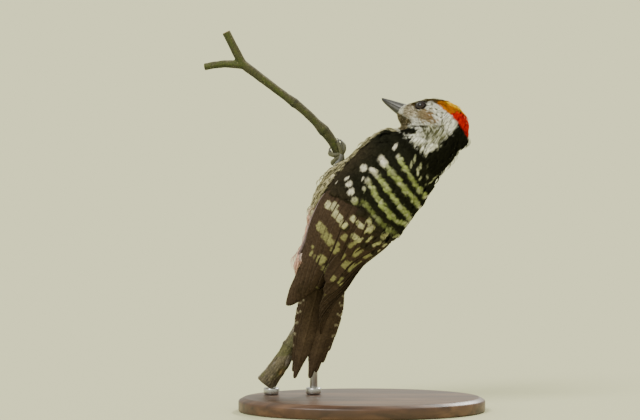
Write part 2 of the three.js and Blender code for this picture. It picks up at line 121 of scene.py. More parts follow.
def node(tree, kind, settings=None, values=None, links=None):
    made = tree.nodes.new(kind)
    for key, value in (settings or {}).items():
        setattr(made, key, value)
    for key, value in (values or {}).items():
        made.inputs[key].default_value = value
    for key, source in (links or {}).items():
        tree.links.new(source, made.inputs[key])
    return made


def ramp(tree, source, stops):
    made = node(tree, "ShaderNodeValToRGB", links={"Fac": source})
    elements = made.color_ramp.elements
    while len(elements) < len(stops):
        elements.new(0.5)
    for element, (place, colour) in zip(elements, stops):
        element.position = place
        element.color = (*colour, 1)
    return made.outputs["Color"]


def grey_ramp(tree, source, *stops):
    return ramp(tree, source, [(place, (tone, tone, tone)) for place, tone in stops])


def pattern(tree, kind, settings=None, **values):
    """A texture on the piece's own Object coordinates."""
    place = node(tree, "ShaderNodeTexCoord")
    return node(tree, kind, settings, values, {"Vector": place.outputs["Object"]})


def placed_group(tree, group, **values):
    made = node(tree, "ShaderNodeGroup", {"node_tree": group})
    for key, value in values.items():
        made.inputs[key].default_value = value
    return made


def new_finish(name, roughness, **fixed):
    finish = bpy.data.materials.new(name)
    finish.use_nodes = True
    shader = finish.node_tree.nodes["Principled BSDF"]
    shader.inputs["Roughness"].default_value = roughness
    for key, value in fixed.items():
        shader.inputs[key.replace("_", " ")].default_value = value
    return finish, finish.node_tree, shader


def add_relief(tree, shader, height, strength, distance):
    values = {"Strength": strength, "Distance": distance}
    bump = node(tree, "ShaderNodeBump", values=values, links={"Height": height})
    tree.links.new(bump.outputs["Normal"], shader.inputs["Normal"])


def vary_shine(tree, shader, share, low, high):
    values = {"To Min": low, "To Max": high}
    shine = node(tree, "ShaderNodeMapRange", values=values, links={"Value": share})
    tree.links.new(shine.outputs["Result"], shader.inputs["Roughness"])


grain, grain_in, grain_out = new_group(
    "long grain",
    [("Stretch", "NodeSocketVector", (1, 1, 1)), ("Fineness", "NodeSocketFloat", 40.0)],
    [("Figure", "NodeSocketFloat"), ("Pores", "NodeSocketFloat")],
)
grain_place = node(grain, "ShaderNodeTexCoord").outputs["Object"]
stretched = {0: grain_place, 1: grain_in.outputs["Stretch"]}
grain_map = node(grain, "ShaderNodeVectorMath", {"operation": "MULTIPLY"}, links=stretched).outputs[0]
fineness = grain_in.outputs["Fineness"]
finer = node(grain, "ShaderNodeMath", {"operation": "MULTIPLY"}, {1: 9.0}, {0: fineness}).outputs[0]
for socket, scale, values in (
    ("Figure", fineness, {"Detail": 6.0, "Distortion": 0.8}),
    ("Pores", finer, {"Detail": 3.0}),
):
    figure = node(grain, "ShaderNodeTexNoise", values=values, links={"Vector": grain_map, "Scale": scale})
    grain.links.new(figure.outputs["Fac"], grain_out.inputs[socket])

walnut, tree, shader = new_finish("waxed walnut", 0.4, Coat_Weight=0.15, Coat_Roughness=0.3)
figure = placed_group(tree, grain, Stretch=(0.22, 2.2, 2.2), Fineness=60)
wood_tone = ramp(tree, figure.outputs["Figure"], list(zip((0.32, 0.5, 0.68), wood_colours)))
tree.links.new(wood_tone, shader.inputs["Base Color"])
add_relief(tree, shader, figure.outputs["Pores"], 0.25, 0.0002)
vary_shine(tree, shader, figure.outputs["Pores"], 0.3, 0.55)

steel, tree, shader = new_finish("brushed steel", 0.32, Metallic=1.0)
brushing = placed_group(tree, grain, Stretch=(1, 1, 12), Fineness=220)
steel_tone = ramp(tree, brushing.outputs["Pores"], [(0.3, (0.36, 0.36, 0.35)), (0.7, (0.62, 0.62, 0.60))])
tree.links.new(steel_tone, shader.inputs["Base Color"])
vary_shine(tree, shader, brushing.outputs["Pores"], 0.22, 0.42)


def select_only(*pieces):
    """Selects these pieces alone, the first of them active."""
    if bpy.context.object and bpy.context.object.mode != "OBJECT":
        bpy.ops.object.mode_set(mode="OBJECT")
    bpy.ops.object.select_all(action="DESELECT")
    for piece in pieces:
        piece.select_set(True)
    if pieces:
        bpy.context.view_layer.objects.active = pieces[0]


def apply_modifier(piece, kind, **settings):
    select_only(piece)
    modifier = piece.modifiers.new(kind.lower(), kind)
    for key, value in settings.items():
        setattr(modifier, key, value)
    bpy.ops.object.modifier_apply(modifier=modifier.name)


def settle(piece):
    select_only(piece)
    bpy.ops.object.transform_apply(location=True, rotation=True, scale=True)


def smooth(piece, crease=None):
    """Smooth shading, with edges over the crease angle kept sharp."""
    select_only(piece)
    if crease is None:
        bpy.ops.object.shade_smooth()
    else:
        bpy.ops.object.shade_smooth_by_angle(angle=math.radians(crease))


def finish_piece(piece, title, finish, slot, *replaced):
    piece.name = title
    piece.data.name = title
    piece.data.materials.clear()
    piece.data.materials.append(finish)
    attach(piece, "root")
    if replaced:
        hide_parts(*replaced)


low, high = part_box("stand_base")
select_only()
bpy.ops.mesh.primitive_cylinder_add(vertices=160, radius=1, depth=1, location=(low + high) / 2)
base = bpy.context.object
base.scale = ((high.x - low.x) / 2, (high.y - low.y) / 2, high.z - low.z)
settle(base)
bpy.ops.object.mode_set(mode="EDIT")
base_form = bmesh.from_edit_mesh(base.data)
for face in base_form.faces:
    face.select_set(face.normal.z > 0.9)
bpy.ops.mesh.inset(thickness=rim_width)
bpy.ops.object.mode_set(mode="OBJECT")
for corner in base.data.vertices:
    reach = math.hypot(corner.co.x / high.x, corner.co.y / high.y)
    if corner.co.z > high.z - 0.1 * mm and reach > 0.99:
        corner.co.z = high.z - rim_drop
rounding = {"segments": 3, "limit_method": "ANGLE"}
apply_modifier(base, "BEVEL", width=rim_round, angle_limit=math.radians(20), **rounding)
smooth(base, 30)
finish_piece(base, "stand_plate", walnut, "stand_wood", "stand_base")

for place in ("lower", "upper"):
    low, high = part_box("stand_rod_" + place)
    centre = (low + high) / 2
    select_only()
    bpy.ops.mesh.primitive_cylinder_add(
        vertices=48, radius=rod_radius, depth=high.z - low.z, location=centre, end_fill_type="NGON"
    )
    rod = bpy.context.object
    settle(rod)
    apply_modifier(rod, "BEVEL", width=rod_round, segments=2, limit_method="ANGLE")
    select_only()
    collar_place = (centre.x, centre.y, low.z + collar_height / 2)
    bpy.ops.mesh.primitive_cylinder_add(
        vertices=64, radius=(high.x - low.x) / 2, depth=collar_height, location=collar_place
    )
    collar = bpy.context.object
    settle(collar)
    apply_modifier(collar, "BEVEL", width=collar_round, **rounding)
    select_only(rod, collar)
    bpy.ops.object.join()
    smooth(rod, 35)
    finish_piece(rod, "stand_steel_rod_" + place, steel, "stand_steel", "stand_rod_" + place)

# --- The perch: a cut forked stem -------------------------------------------------------------------
# A length of living stem, thick and grey-brown at its cut foot and thin, green and smooth above,
# with leaf scars, pale breathing pores, lichen, and sawn ends with growth rings.
stem_course = [
    (-48.5, 11, 12.5), (-41.5, 10, 22), (-34.5, 10, 34), (-24.5, 11, 55), (-19, 15, 82),
    (-14, 17, 105), (-11.6, 11.5, 128.5), (-25.3, 8, 147), (-44, 6, 162), (-60.5, 5, 174.5),
]
stem_forks = [
    [(-59.5, 5, 173.5), (-63.5, 4.6, 181), (-68, 4, 190)],
    [(-59.5, 5, 173.5), (-69, 5.6, 174), (-79, 6.5, 172.5)],
]
leaf_scars = [0.2, 0.47, 0.735, 0.83]
# The young stem's greens are painted shade underneath, painted light on top, and a paler painted highlight
# along the top.
shaded_green, lit_green, top_lit_green = (0.011, 0.014, 0.001), (0.055, 0.066, 0.006), (0.105, 0.092, 0.044)
furrow_brown, ridge_brown, dull_brown = (0.040, 0.029, 0.012), (0.150, 0.122, 0.066), (0.050, 0.041, 0.018)
sawn_wood, sawn_ring, pale_pore = (0.42, 0.31, 0.17), (0.30, 0.20, 0.10), (0.26, 0.22, 0.12, 1)
# Lichen, moss and rust: colour, size and seed of the patches, where they begin and fill, strength.
bark_growths = [
    ((0.24, 0.21, 0.18), 5.5, 6, 0.26, 0.40, 0.7), ((0.085, 0.085, 0.020), 7.0, 8, 0.25, 0.40, 0.7),
    ((0.30, 0.15, 0.06), 6.0, 9, 0.30, 0.42, 0.3),
]


def blend_step(low, high, value):
    part = np.clip((value - low) / (high - low), 0, 1)
    return part * part * (3 - 2 * part)


def mix_colour(first, second, part):
    part = np.asarray(part, float)[..., None]
    return np.asarray(first, float) * (1 - part) + np.asarray(second, float) * part


def through_points(points, places):
    """Places from 0 to 1 along a smooth curve through points, without overshoot at short steps."""
    points = np.asarray(points, float)
    steps = np.linalg.norm(np.diff(points, axis=0), axis=1) ** 0.5
    padded = np.vstack([2 * points[0] - points[1], points, 2 * points[-1] - points[-2]])
    where = np.asarray(places, float) * (len(points) - 1)
    index = np.clip(where.astype(int), 0, len(points) - 2)
    part = (where - index)[:, None]
    before, start, end, after = (padded[index + k] for k in range(4))
    first = steps[np.clip(index - 1, 0, None)][:, None]
    here = steps[index][:, None]
    last = steps[np.clip(index + 1, None, len(steps) - 1)][:, None]
    leaving = ((start - before) / first - (end - before) / (first + here) + (end - start) / here) * here
    arriving = ((end - start) / here - (after - start) / (here + last) + (after - end) / last) * here
    square, cube = part**2, part**3
    return (
        (2 * cube - 3 * square + 1) * start
        + (cube - 2 * square + part) * leaving
        + (3 * square - 2 * cube) * end
        + (cube - square) * arriving
    )


def merged_copy(title, *names):
    """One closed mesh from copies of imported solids, whose loose triangles are merged."""
    copies = [bpy.data.objects.new(title, nodes[name].data.copy()) for name in names]
    for copy in copies:
        bpy.context.scene.collection.objects.link(copy)
    select_only(*copies)
    if len(copies) > 1:
        bpy.ops.object.join()
    bpy.ops.object.mode_set(mode="EDIT")
    bpy.ops.mesh.select_all(action="SELECT")
    bpy.ops.mesh.remove_doubles(threshold=0.001 * mm)
    bpy.ops.object.mode_set(mode="OBJECT")
    return copies[0]


def points_of(piece, kind="co"):
    flat = np.zeros(len(piece.data.vertices) * 3, np.float32)
    piece.data.vertices.foreach_get(kind, flat)
    return flat.reshape(-1, 3).astype(float)


def move_points(piece, points):
    piece.data.vertices.foreach_set("co", points.astype(np.float32).ravel())
    piece.data.update()


def colour_points(piece, colours):
    layer = piece.data.color_attributes.new("tint", "FLOAT_COLOR", "POINT")
    full = np.ones((len(colours), 4), np.float32)
    full[:, :3] = np.clip(colours, 0, 1)
    layer.data.foreach_set("color", full.ravel())


def search_tree(piece):
    form = bmesh.new()
    form.from_mesh(piece.data)
    tree = BVHTree.FromBMesh(form)
    form.free()
    return tree


def point_tree(points):
    tree = KDTree(len(points))
    for number, point in enumerate(points):
        tree.insert(point, number)
    tree.balance()
    return tree


def unit(vectors):
    return vectors / np.maximum(np.linalg.norm(vectors, axis=-1), 1e-9)[..., None]


def rough_noise(points, size, seed=0):
    shift = Vector((seed * 13.1, seed * 7.7, seed * 3.3))
    return np.array([mathutils_noise.noise(Vector(point) / size + shift) for point in points])


perch = merged_copy("perch_bark", "perch")
perch_tree = search_tree(perch)
apply_modifier(perch, "REMESH", mode="VOXEL", voxel_size=0.42 * mm)
apply_modifier(perch, "SMOOTH", factor=0.5, iterations=14)
line = through_points(stem_course, np.linspace(0, 1, 600))
for fork in stem_forks:
    line = np.vstack([line, through_points(fork, np.linspace(0, 1, 60))])
line = line * mm
line_places = np.concatenate([np.linspace(0, 1, 600), np.linspace(1, 1.2, 60), np.linspace(1, 1.25, 60)])
line_tree = point_tree(line)
bark = points_of(perch)
outward = points_of(perch, "normal")
# Smoothing draws the thin forks in, so each point goes back most of the way to the solid.
shrunk = np.array([perch_tree.find_nearest(Vector(point))[3] for point in bark])
bark = bark + outward * (0.85 * np.minimum(shrunk, 1.2 * mm))[:, None]
nearest = np.array([line_tree.find(point)[1] for point in bark])
up_stem = line_places[nearest]
aside = bark - line[nearest]
turn = np.arctan2(aside[:, 1], aside[:, 0])
age = 1 - blend_step(0.12, 0.55, up_stem)
furrows = rough_noise(np.column_stack([np.cos(turn) * 9, np.sin(turn) * 9, up_stem * 26]), 1.0, 1)
lumps = rough_noise(bark / mm, 3.5, 2)
crust = rough_noise(bark / mm, 0.9, 3)
scar = sum(np.exp(-(((up_stem - place) / 0.004) ** 2)) for place in leaf_scars)
raised = furrows * (0.10 + 0.22 * age) + lumps * (0.10 + 0.2 * age) + crust * (0.03 + 0.08 * age)
raised = raised + 0.16 * scar
stem_ends = [stem_course[0], stem_forks[0][-1], stem_forks[1][-1]]
cut_end = np.min([np.linalg.norm(bark - np.array(end) * mm, axis=1) for end in stem_ends], axis=0) / mm
run = unit(np.gradient(line, axis=0)[nearest])
flat_cut = (np.abs(np.einsum("ij,ij->i", outward, run)) > 0.75) & (cut_end < 7)
raised[flat_cut] = 0
move_points(perch, bark + outward * (raised * mm)[:, None])

# Painted light and shade: how far each point faces up towards the light, with a little crust noise, sets the
# green from shaded underneath to a pale highlight on top.
facing_light = outward @ unit(np.array((0.55, -0.2, 0.8))) + crust * 0.3
green = mix_colour(shaded_green, lit_green, blend_step(-0.9, 0.3, facing_light))
green = mix_colour(green, top_lit_green, blend_step(0.35, 0.95, facing_light))
# Ridges are paler than furrows, as on old bark, and the side facing up is paler still, which is painted
# light.
wear_and_lit_side = blend_step(-0.6, 0.7, furrows + crust * 0.5 + facing_light * 0.5)
brown = mix_colour(furrow_brown, ridge_brown, wear_and_lit_side)
bark_tint = mix_colour(green, brown, age)
mid_stem = 0.5 * blend_step(0.66, 0.78, up_stem) - 0.5 * blend_step(0.8, 0.9, up_stem)
bark_tint = mix_colour(bark_tint, dull_brown, blend_step(-0.1, 0.45, lumps + mid_stem) * 0.5)
for colour, size, seed, start, full, strength in bark_growths:
    patches = blend_step(start, full, rough_noise(bark / mm, size, seed))
    bark_tint = mix_colour(bark_tint, colour, patches * age * strength)
bark_tint *= (1 - 0.45 * np.clip(scar, 0, 1))[:, None]
rings = 0.5 + 0.5 * np.sin(np.linalg.norm(aside, axis=1) / mm * 9)
bark_tint[flat_cut] = mix_colour(sawn_wood, sawn_ring, rings)[flat_cut]
colour_points(perch, bark_tint)

# The tint laid on a piece's points, made lighter and darker by a finish's own fine tone.
laid_tint, laid_in, laid_out = new_group(
    "laid tint", [("Tone", "NodeSocketColor", (1, 1, 1, 1))], [("Colour", "NodeSocketColor")]
)
multiply = {"data_type": "RGBA", "blend_type": "MULTIPLY"}
point_tint = node(laid_tint, "ShaderNodeAttribute", {"attribute_name": "tint"}).outputs["Color"]
toned = node(laid_tint, "ShaderNodeMix", multiply, {0: 1.0}, {6: point_tint, 7: laid_in.outputs["Tone"]})
laid_tint.links.new(toned.outputs[2], laid_out.inputs["Colour"])


def tinted(tree, tone):
    made = placed_group(tree, laid_tint)
    tree.links.new(tone, made.inputs["Tone"])
    return made.outputs["Colour"]


bark_finish, tree, shader = new_finish("stem bark", 0.75)
pores = pattern(tree, "ShaderNodeTexVoronoi", Scale=520.0)
pore_share = grey_ramp(tree, pores.outputs["Distance"], (0.0, 1), (0.16, 0))
speckle = pattern(tree, "ShaderNodeTexNoise", Scale=1400.0, Detail=4.0)
bark_tone = tinted(tree, grey_ramp(tree, speckle.outputs["Fac"], (0.3, 0.55), (0.7, 1.35)))
pored = node(tree, "ShaderNodeMix", {"data_type": "RGBA"}, {7: pale_pore}, {0: pore_share, 6: bark_tone})
tree.links.new(pored.outputs[2], shader.inputs["Base Color"])
add_relief(tree, shader, speckle.outputs["Fac"], 0.5, 0.0003)
smooth(perch)
finish_piece(perch, "perch_bark", bark_finish, "bark", "perch")

# --- The skin ---------------------------------------------------------------------------------------
# One skin covers head, neck, body and the arms of the wings without a seam. It lies under the
# feathers by the depth of the coat, which is thin on the face and deep on the flanks.
body_place = np.array((-1.5, -6, 103.2))
body_axes = np.array(Matrix.Rotation(math.radians(42), 3, "Y") @ Matrix.Rotation(math.radians(-142), 3, "Z"))
head_place = np.array((1.8, 1.1, 56.9))
head_axes = np.array(
    Matrix.Rotation(math.radians(30.8), 3, "Z")
    @ Matrix.Rotation(math.radians(18.7), 3, "X")
    @ Matrix.Rotation(math.radians(-4.9), 3, "Y")
)
both_sides = {"left": 1, "right": -1}
flesh = ("head", "neck", "trunk", "wing_left_coverts", "wing_right_coverts")
bill_root = np.array((0, 21, -2.0))
eye_radius = 2.7
eye_centres = {word: np.array((side * 7.2, 7.1, 2.7)) for word, side in both_sides.items()}
# The middle line of the body, from the tail to the neck: height, shift to its left, shift back.
spine = np.array([
    (-62, -4.5, 7), (-52, -3.5, 6.5), (-45, -3.5, 5), (-38, -3.2, 4), (-30, -3, 3.5),
    (-20, -1.5, 3), (-10, -0.5, 2.5), (2, 0, 1.5), (14, 0, 2), (26, 0.3, 3),
    (35, 0.6, 4.5), (43, 0.8, 6.8), (50, 0.9, 7.6), (56, 0.9, 6),
])


def in_body(points):
    return (np.asarray(points) / mm - body_place) @ body_axes


def from_body(points):
    return (np.asarray(points) @ body_axes.T + body_place) * mm


def in_head(points):
    """Places to the bird's side, forward along the bill and up, from the middle of the head."""
    return (in_body(points) - head_place) @ head_axes * (1, -1, 1)


def from_head(points):
    placed = np.asarray(points) * (1, -1, 1)
    return from_body(placed @ head_axes.T + head_place)


def round_body(points):
    """Height along the spine, angle from the middle of the back (left is plus), and reach."""
    placed = in_body(points)
    height = placed[:, 2]
    left = placed[:, 0] - np.interp(height, spine[:, 0], spine[:, 1])
    back = placed[:, 1] - np.interp(height, spine[:, 0], spine[:, 2])
    return height, np.degrees(np.arctan2(left, back)), np.hypot(left, back)


def head_share(points):
    head = in_head(points)
    return blend_step(-21, -13, head[:, 2] + 0.35 * head[:, 1] - 2)


def coat_depth(points):
    height, angle, _ = round_body(points)
    from_bill = np.linalg.norm(in_head(points) - (0, 17.5, -2), axis=1)
    on_head = np.interp(from_bill, [0, 5, 12, 26, 34], [0.3, 0.55, 0.9, 1.4, 2.0])
    on_body = np.interp(height, [-60, -48, -30, 40], [0.8, 1.2, 2.2, 2.3])
    beside_rump = blend_step(50, 80, np.abs(angle)) * blend_step(140, 115, np.abs(angle))
    on_body = on_body + 1.6 * np.exp(-(((height + 43) / 8) ** 2)) * beside_rump
    return on_body + (on_head - on_body) * head_share(points)


skin = merged_copy("skin", *flesh)
apply_modifier(skin, "REMESH", mode="VOXEL", voxel_size=0.72 * mm)
apply_modifier(skin, "SMOOTH", factor=0.5, iterations=22)
outside = points_of(skin)
move_points(skin, outside - points_of(skin, "normal") * (coat_depth(outside) * mm)[:, None])
apply_modifier(skin, "SMOOTH", factor=0.5, iterations=6)

# --- The markings -----------------------------------------------------------------------------------
# Skin and feathers take their colours from the same markings, given by the place on the bird: the
# height along the spine and the angle from the middle of the back, or the place on the head.
black_feather, brown_feather = (0.0120, 0.0120, 0.0076), (0.037, 0.029, 0.018)
bar_white, bar_green, wing_spot_buff = (0.60, 0.57, 0.46), (0.235, 0.276, 0.090), (0.42, 0.41, 0.20)
streak_brown, olive_white, ear_brown = (0.030, 0.024, 0.012), (0.46, 0.47, 0.28), (0.24, 0.125, 0.050)
moustache_black, crown_yellow, bare_skin = (0.012, 0.010, 0.006), (0.95, 0.58, 0.012), (0.035, 0.028, 0.024)
# These run from one tone to another, and each feather has its own place between the two.
belly_buffs = ((0.46, 0.42, 0.26), (0.25, 0.225, 0.115))
vent_pinks = ((0.62, 0.33, 0.25), (0.58, 0.50, 0.46))
neck_whites = ((0.98, 0.97, 0.86), (0.80, 0.79, 0.64))
streak_olives = ((0.030, 0.030, 0.012), (0.12, 0.12, 0.05))
ear_buffs = ((0.37, 0.29, 0.17), (0.20, 0.155, 0.085))
speckles = ((0.66, 0.58, 0.42), (0.11, 0.085, 0.045))
cheek_browns = ((0.092, 0.074, 0.038), (0.40, 0.33, 0.19))
throat_buffs = ((0.44, 0.39, 0.25), (0.22, 0.175, 0.090))
forehead_umbers = ((0.040, 0.026, 0.010), (0.085, 0.060, 0.020))
crown_oranges = ((0.58, 0.17, 0.001), (0.27, 0.09, 0.002))
nape_reds = ((0.80, 0.014, 0.001), (0.50, 0.006, 0.001))
# Bars over the mantle: height at mid-back, slant, bend, from and to angle, half width, strength.
mantle_bars = [
    (27.4, 0.055, 0.0005, -70, 57, 1.10, 1.0), (21.9, 0.046, 0.0001, -64, 70, 1.45, 1.0),
    (14.5, 0.050, 0.0002, -58, 66, 1.30, 1.0), (7.7, 0.030, 0.0011, -56, 60, 1.25, 1.0),
    (1.9, 0.018, 0.0006, -44, 46, 1.15, 0.5),
]
# Pale spots: height, angle from mid-back, half length, half width in millimetres, lean, strength.
# Those far from mid-back are on both sides.
pale_spots = [
    (36.6, 34, 1.6, 0.60, 0.8, 0.9), (33.3, 31, 1.6, 0.65, 0.8, 0.9), (35.6, 16, 1.5, 0.75, 0.8, 0.9),
    (32.8, 14, 1.6, 0.85, 0.7, 1.0), (31.3, 1, 0.9, 1.2, 0.3, 0.8), (33.9, -9, 0.9, 0.9, 0.3, 0.6),
    (38.1, 7, 1.0, 0.6, 0.8, 0.25), (30.6, -21, 0.7, 0.7, 0.0, 0.35), (34.6, 70, 1.7, 1.0, 0.4, 1.0),
    (16.2, 72, 1.75, 1.75, 0.0, 1.0), (6.9, 77, 1.6, 0.6, -0.3, 1.0), (5.6, 70, 1.6, 1.35, -0.2, 1.0),
    (3.5, 62, 1.6, 1.55, 0.0, 1.0), (1.4, 52, 1.6, 1.75, 0.0, 0.9), (12.2, 63, 0.8, 0.5, 0.5, 0.8),
    (9.0, 54, 1.1, 1.0, 0.3, 0.9), (2.2, 84, 0.5, 0.5, 0.0, 1.0),
]
# Pale spots of the folded wings: side (1 left, -1 right, 0 both), height, angle, half length, half
# width, strength.
wing_spots = [
    (0, -9, 72, 1.9, 1.82, 1), (0, -7.5, 63, 2.02, 1.71, 1), (0, -9.75, 54.5, 2.02, 1.82, 1),
    (0, -10, 47.5, 1.68, 1.37, 1), (0, -10.75, 38, 1.9, 1.71, 1), (0, -5.5, 32, 1.46, 2.17, 1),
    (0, -19.75, 64, 2.02, 2.74, 1), (0, -21.25, 48, 2.13, 2.17, 1), (0, -22, 38.5, 1.79, 1.37, 0.9),
    (0, -20.75, 30, 1.46, 1.82, 0.9), (0, -23.25, 25.5, 1.79, 1.82, 1), (0, -24, 11, 2.13, 1.71, 1),
    (0, -15.25, 25, 1.79, 1.94, 0.9), (0, -29.75, 63, 0.9, 0.8, 0.8), (0, -32.75, 58.5, 1.4, 0.6, 0.8),
    (0, -32.75, 48, 1.1, 0.6, 0.5), (0, -31.75, 34, 2.24, 2.17, 1), (0, -33.25, 13.5, 2.24, 2.28, 0.9),
    (1, -5.75, 21, 1.34, 2.28, 1), (1, -6, 11, 2.2, 0.8, 1), (0, -2, 15.5, 1.57, 1.6, 0.8),
    (1, -3.5, 7, 1.9, 1.37, 0.8), (1, -16.25, 12, 1.57, 1.25, 0.9), (1, -12, 16.5, 1.46, 2.05, 1),
    (1, -12.5, 8.5, 2.58, 1.6, 1), (1, -17.25, -5, 2.69, 1.82, 1), (1, -35.25, -15, 1.68, 1.37, 0.7),
    (-1, -8.25, 2.5, 2, 0.9, 0.9), (-1, -8, 15.5, 1.9, 1.25, 1), (-1, -1.5, 20, 1.57, 1.48, 1),
    (-1, -3.75, 37.5, 1.4, 0.9, 0.9), (-1, -17.25, 5, 2.69, 1.82, 1), (-1, -15.75, 23, 1.46, 1.37, 1),
    (-1, -15, 42.5, 1.46, 1.71, 0.9), (-1, -25.5, 2, 2.13, 1.71, 0.9), (-1, -25.25, 19, 1.9, 1.94, 1),
    (-1, -25.25, 32, 1.46, 1.71, 0.8), (-1, -34.75, -11.5, 1.68, 1.37, 0.8),
    (-1, -32.5, 10, 0.5, 1.8, 0.7), (0, -43.75, -7.5, 0.5, 1.3, 0.5), (0, -45.75, -16, 0.5, 1.2, 0.4),
]
# The edge of the crown on the head: forward, up. The edge of the wing and mantle on the body:
# height, angle. The edges of the black nape: height, left angle, right angle.
crown_edge = np.array([
    (-19.8, -1.8), (-17.2, 0.2), (-13.1, 2.6), (-7.6, 4.2), (-5.3, 4.7), (-2.4, 6.0), (2.2, 7.0),
    (5, 6.2), (8.2, 4.4), (9.8, 1.7), (11.2, 1.0), (12.6, 2.0), (17, 2.6),
])
wing_edge = np.array([
    (-62, 50), (-52, 47), (-44, 49), (-40, 54), (-37, 62), (-34, 80), (-28, 86), (-18, 91), (-12, 95),
    (-6, 99), (3, 101), (15, 104), (25, 107), (30, 110), (34, 110), (38, 109), (42, 101),
])
nape_edge = np.array([(42, 27, 82), (46.7, 20, 86), (50, 22, 90), (55, 16, 96), (59, 11, 98), (63, 10, 98)])


def read_edge(edge, places):
    return np.interp(places, edge[:, 0], edge[:, 1])


def draw_lots(lot, times):
    """Another even draw from 0 to 1 for each feather, from its own lot."""
    return np.mod(lot * times, 1)


def patch_at(forward, up, centre, size, slope):
    """How far a place on the head is from a slanting oval patch's centre, as a part of its size."""
    along = forward - centre[0]
    return np.hypot(along / size[0], (up - centre[1] - slope * along) / size[1])


# The shape of the coat round the body: height, half width, depth to the back, depth to the belly.
body_sizes = np.array([
    (-66, 4.5, 3, 3), (-62, 4.5, 3, 3), (-52, 8.5, 3.5, 4.5), (-45, 10, 5.5, 8.5),
    (-38, 12.5, 7.5, 11.5), (-30, 15, 9.5, 14), (-20, 19, 13, 18), (-10, 22, 16, 21),
    (2, 23.5, 19.5, 24), (14, 22.3, 20, 22), (26, 21.2, 18.7, 20.5), (35, 18.9, 16.4, 18.4),
    (43, 15.6, 15.2, 15),
])
smooth_heights = np.linspace(-66, 43, 219)
softener = np.exp(-(np.linspace(-2, 2, 17) ** 2))
softener = softener / softener.sum()


def smoothed(table, column):
    values = np.interp(smooth_heights, table[:, 0], table[:, column])
    return np.convolve(np.pad(values, 8, mode="edge"), softener, mode="valid")


body_curves = [smoothed(body_sizes, column) for column in (1, 2, 3)]
spine_curves = [smoothed(spine, column) for column in (1, 2)]


def on_coat(side, height, angle, lift):
    """Places in the bird's own frame at a lift over the coat; the right wing's tip swings aside."""
    wide, back_depth, belly_depth = (np.interp(height, smooth_heights, curve) for curve in body_curves)
    left, back = (np.interp(height, smooth_heights, curve) for curve in spine_curves)
    around = np.radians(side * angle)
    deep = np.where(np.cos(around) > 0, back_depth, belly_depth)
    x = left + (wide + lift) * np.sin(around)
    y = back + (deep + lift) * np.cos(around)
    if side < 0:
        x = x - np.clip((-18 - height) / 36, 0, None) ** 2 * 12
        y = y + 5.5 * blend_step(18, 40, -height)
    return np.column_stack([x, y, height * np.ones(len(x))])


def wing_marks(places, side, uneven):
    """How strongly the pale spots of one wing mark places given in the bird's own frame."""
    share = np.zeros(len(places))
    for on_side, height, angle, half_long, half_wide, strength in wing_spots:
        if on_side in (0, side):
            centre, above = on_coat(side, np.full(2, height), angle, np.array([1.2, 2.2]))
            outward, off = (above - centre)[:2], places - centre
            aside = off[:, :2] @ (outward[1], -outward[0])
            from_spot = ((off[:, 2] / half_long) ** 4 + (aside / half_wide) ** 4) ** 0.25
            near = np.abs(off[:, :2] @ outward) < 5
            share = np.maximum(share, blend_step(1.2, 0.85, from_spot + uneven) * strength * near)
    return share


def underparts(height, lot, shaft, along):
    buff = mix_colour(*belly_buffs, draw_lots(lot, 3.7) ** 1.3)
    streaked = (draw_lots(lot, 7.3) < 0.72) * blend_step(0.15, 0.5, along)
    marked = mix_colour(buff, streak_brown, np.clip(shaft * streaked * 1.5, 0, 0.97))
    pink = mix_colour(*vent_pinks, draw_lots(lot, 5.1) ** 2)
    pinkness = blend_step(14, 24, -height + (lot - 0.5) * 6)
    return mix_colour(marked, pink, pinkness * (0.85 - 0.5 * shaft * (draw_lots(lot, 6.1) < 0.3)))


def upperparts(places, height, angle, reach, lot, along):
    turned = np.abs(angle)
    uneven = lot - 0.5
    browned = np.maximum(blend_step(62, 100, turned) * blend_step(34, 18, height), blend_step(8, -5, height))
    dark = mix_colour(black_feather, brown_feather, browned * 0.75) * (0.7 + 0.6 * along)[:, None]
    pale = np.zeros(len(height))
    for level, slant, bend, start, end, half, strength in mantle_bars:
        off = np.abs(height - level - slant * angle - bend * angle**2 + uneven * 0.9)
        inside = blend_step(start - 3, start + 3, angle) * blend_step(end + 2, end - 2, angle)
        wide = half * (0.8 + 0.4 * draw_lots(lot, 13.7))
        pale = np.maximum(pale, blend_step(wide + 0.3, wide - 0.3, off) * inside * strength)
    mark = mix_colour(bar_green, bar_white, blend_step(46, 66, turned) + 0.28 * draw_lots(lot, 19.7) ** 2)
    mark = mark * (0.7 + 0.5 * draw_lots(lot, 11.3))[:, None]
    spot = np.zeros(len(height))
    for level, place, half_long, half_wide, lean, strength in pale_spots:
        aside = ((turned if place > 25 else angle) - place) * math.pi / 180 * reach
        from_spot = np.hypot((height - level) / half_long, (aside - lean * (height - level)) / half_wide)
        spot = np.maximum(spot, blend_step(1.2, 0.85, from_spot + uneven * 0.25) * strength)
    spot_tone = mix_colour(bar_green, bar_white, np.maximum(blend_step(44, 62, turned), 0.4 * (height > 30)))
    marked = mix_colour(mix_colour(dark, mark, pale), spot_tone, spot)
    on_wings = np.where(angle > 0, wing_marks(places, 1, uneven * 0.3), wing_marks(places, -1, uneven * 0.3))
    return mix_colour(marked, wing_spot_buff, on_wings * (height < 1))


def streaked_white(lot, shaft, olive_share):
    white = mix_colour(*neck_whites, draw_lots(lot, 3.1))
    white = mix_colour(white, olive_white, 0.65 * olive_share)
    olive = mix_colour(*streak_olives, draw_lots(lot, 9.7))
    lined = shaft * (draw_lots(lot, 5.3) < 0.4 + 0.5 * olive_share)
    whole = draw_lots(lot, 17.9) < 0.13 + 0.37 * olive_share
    return mix_colour(white, olive, np.clip(lined * 1.2 + whole, 0, 0.93))


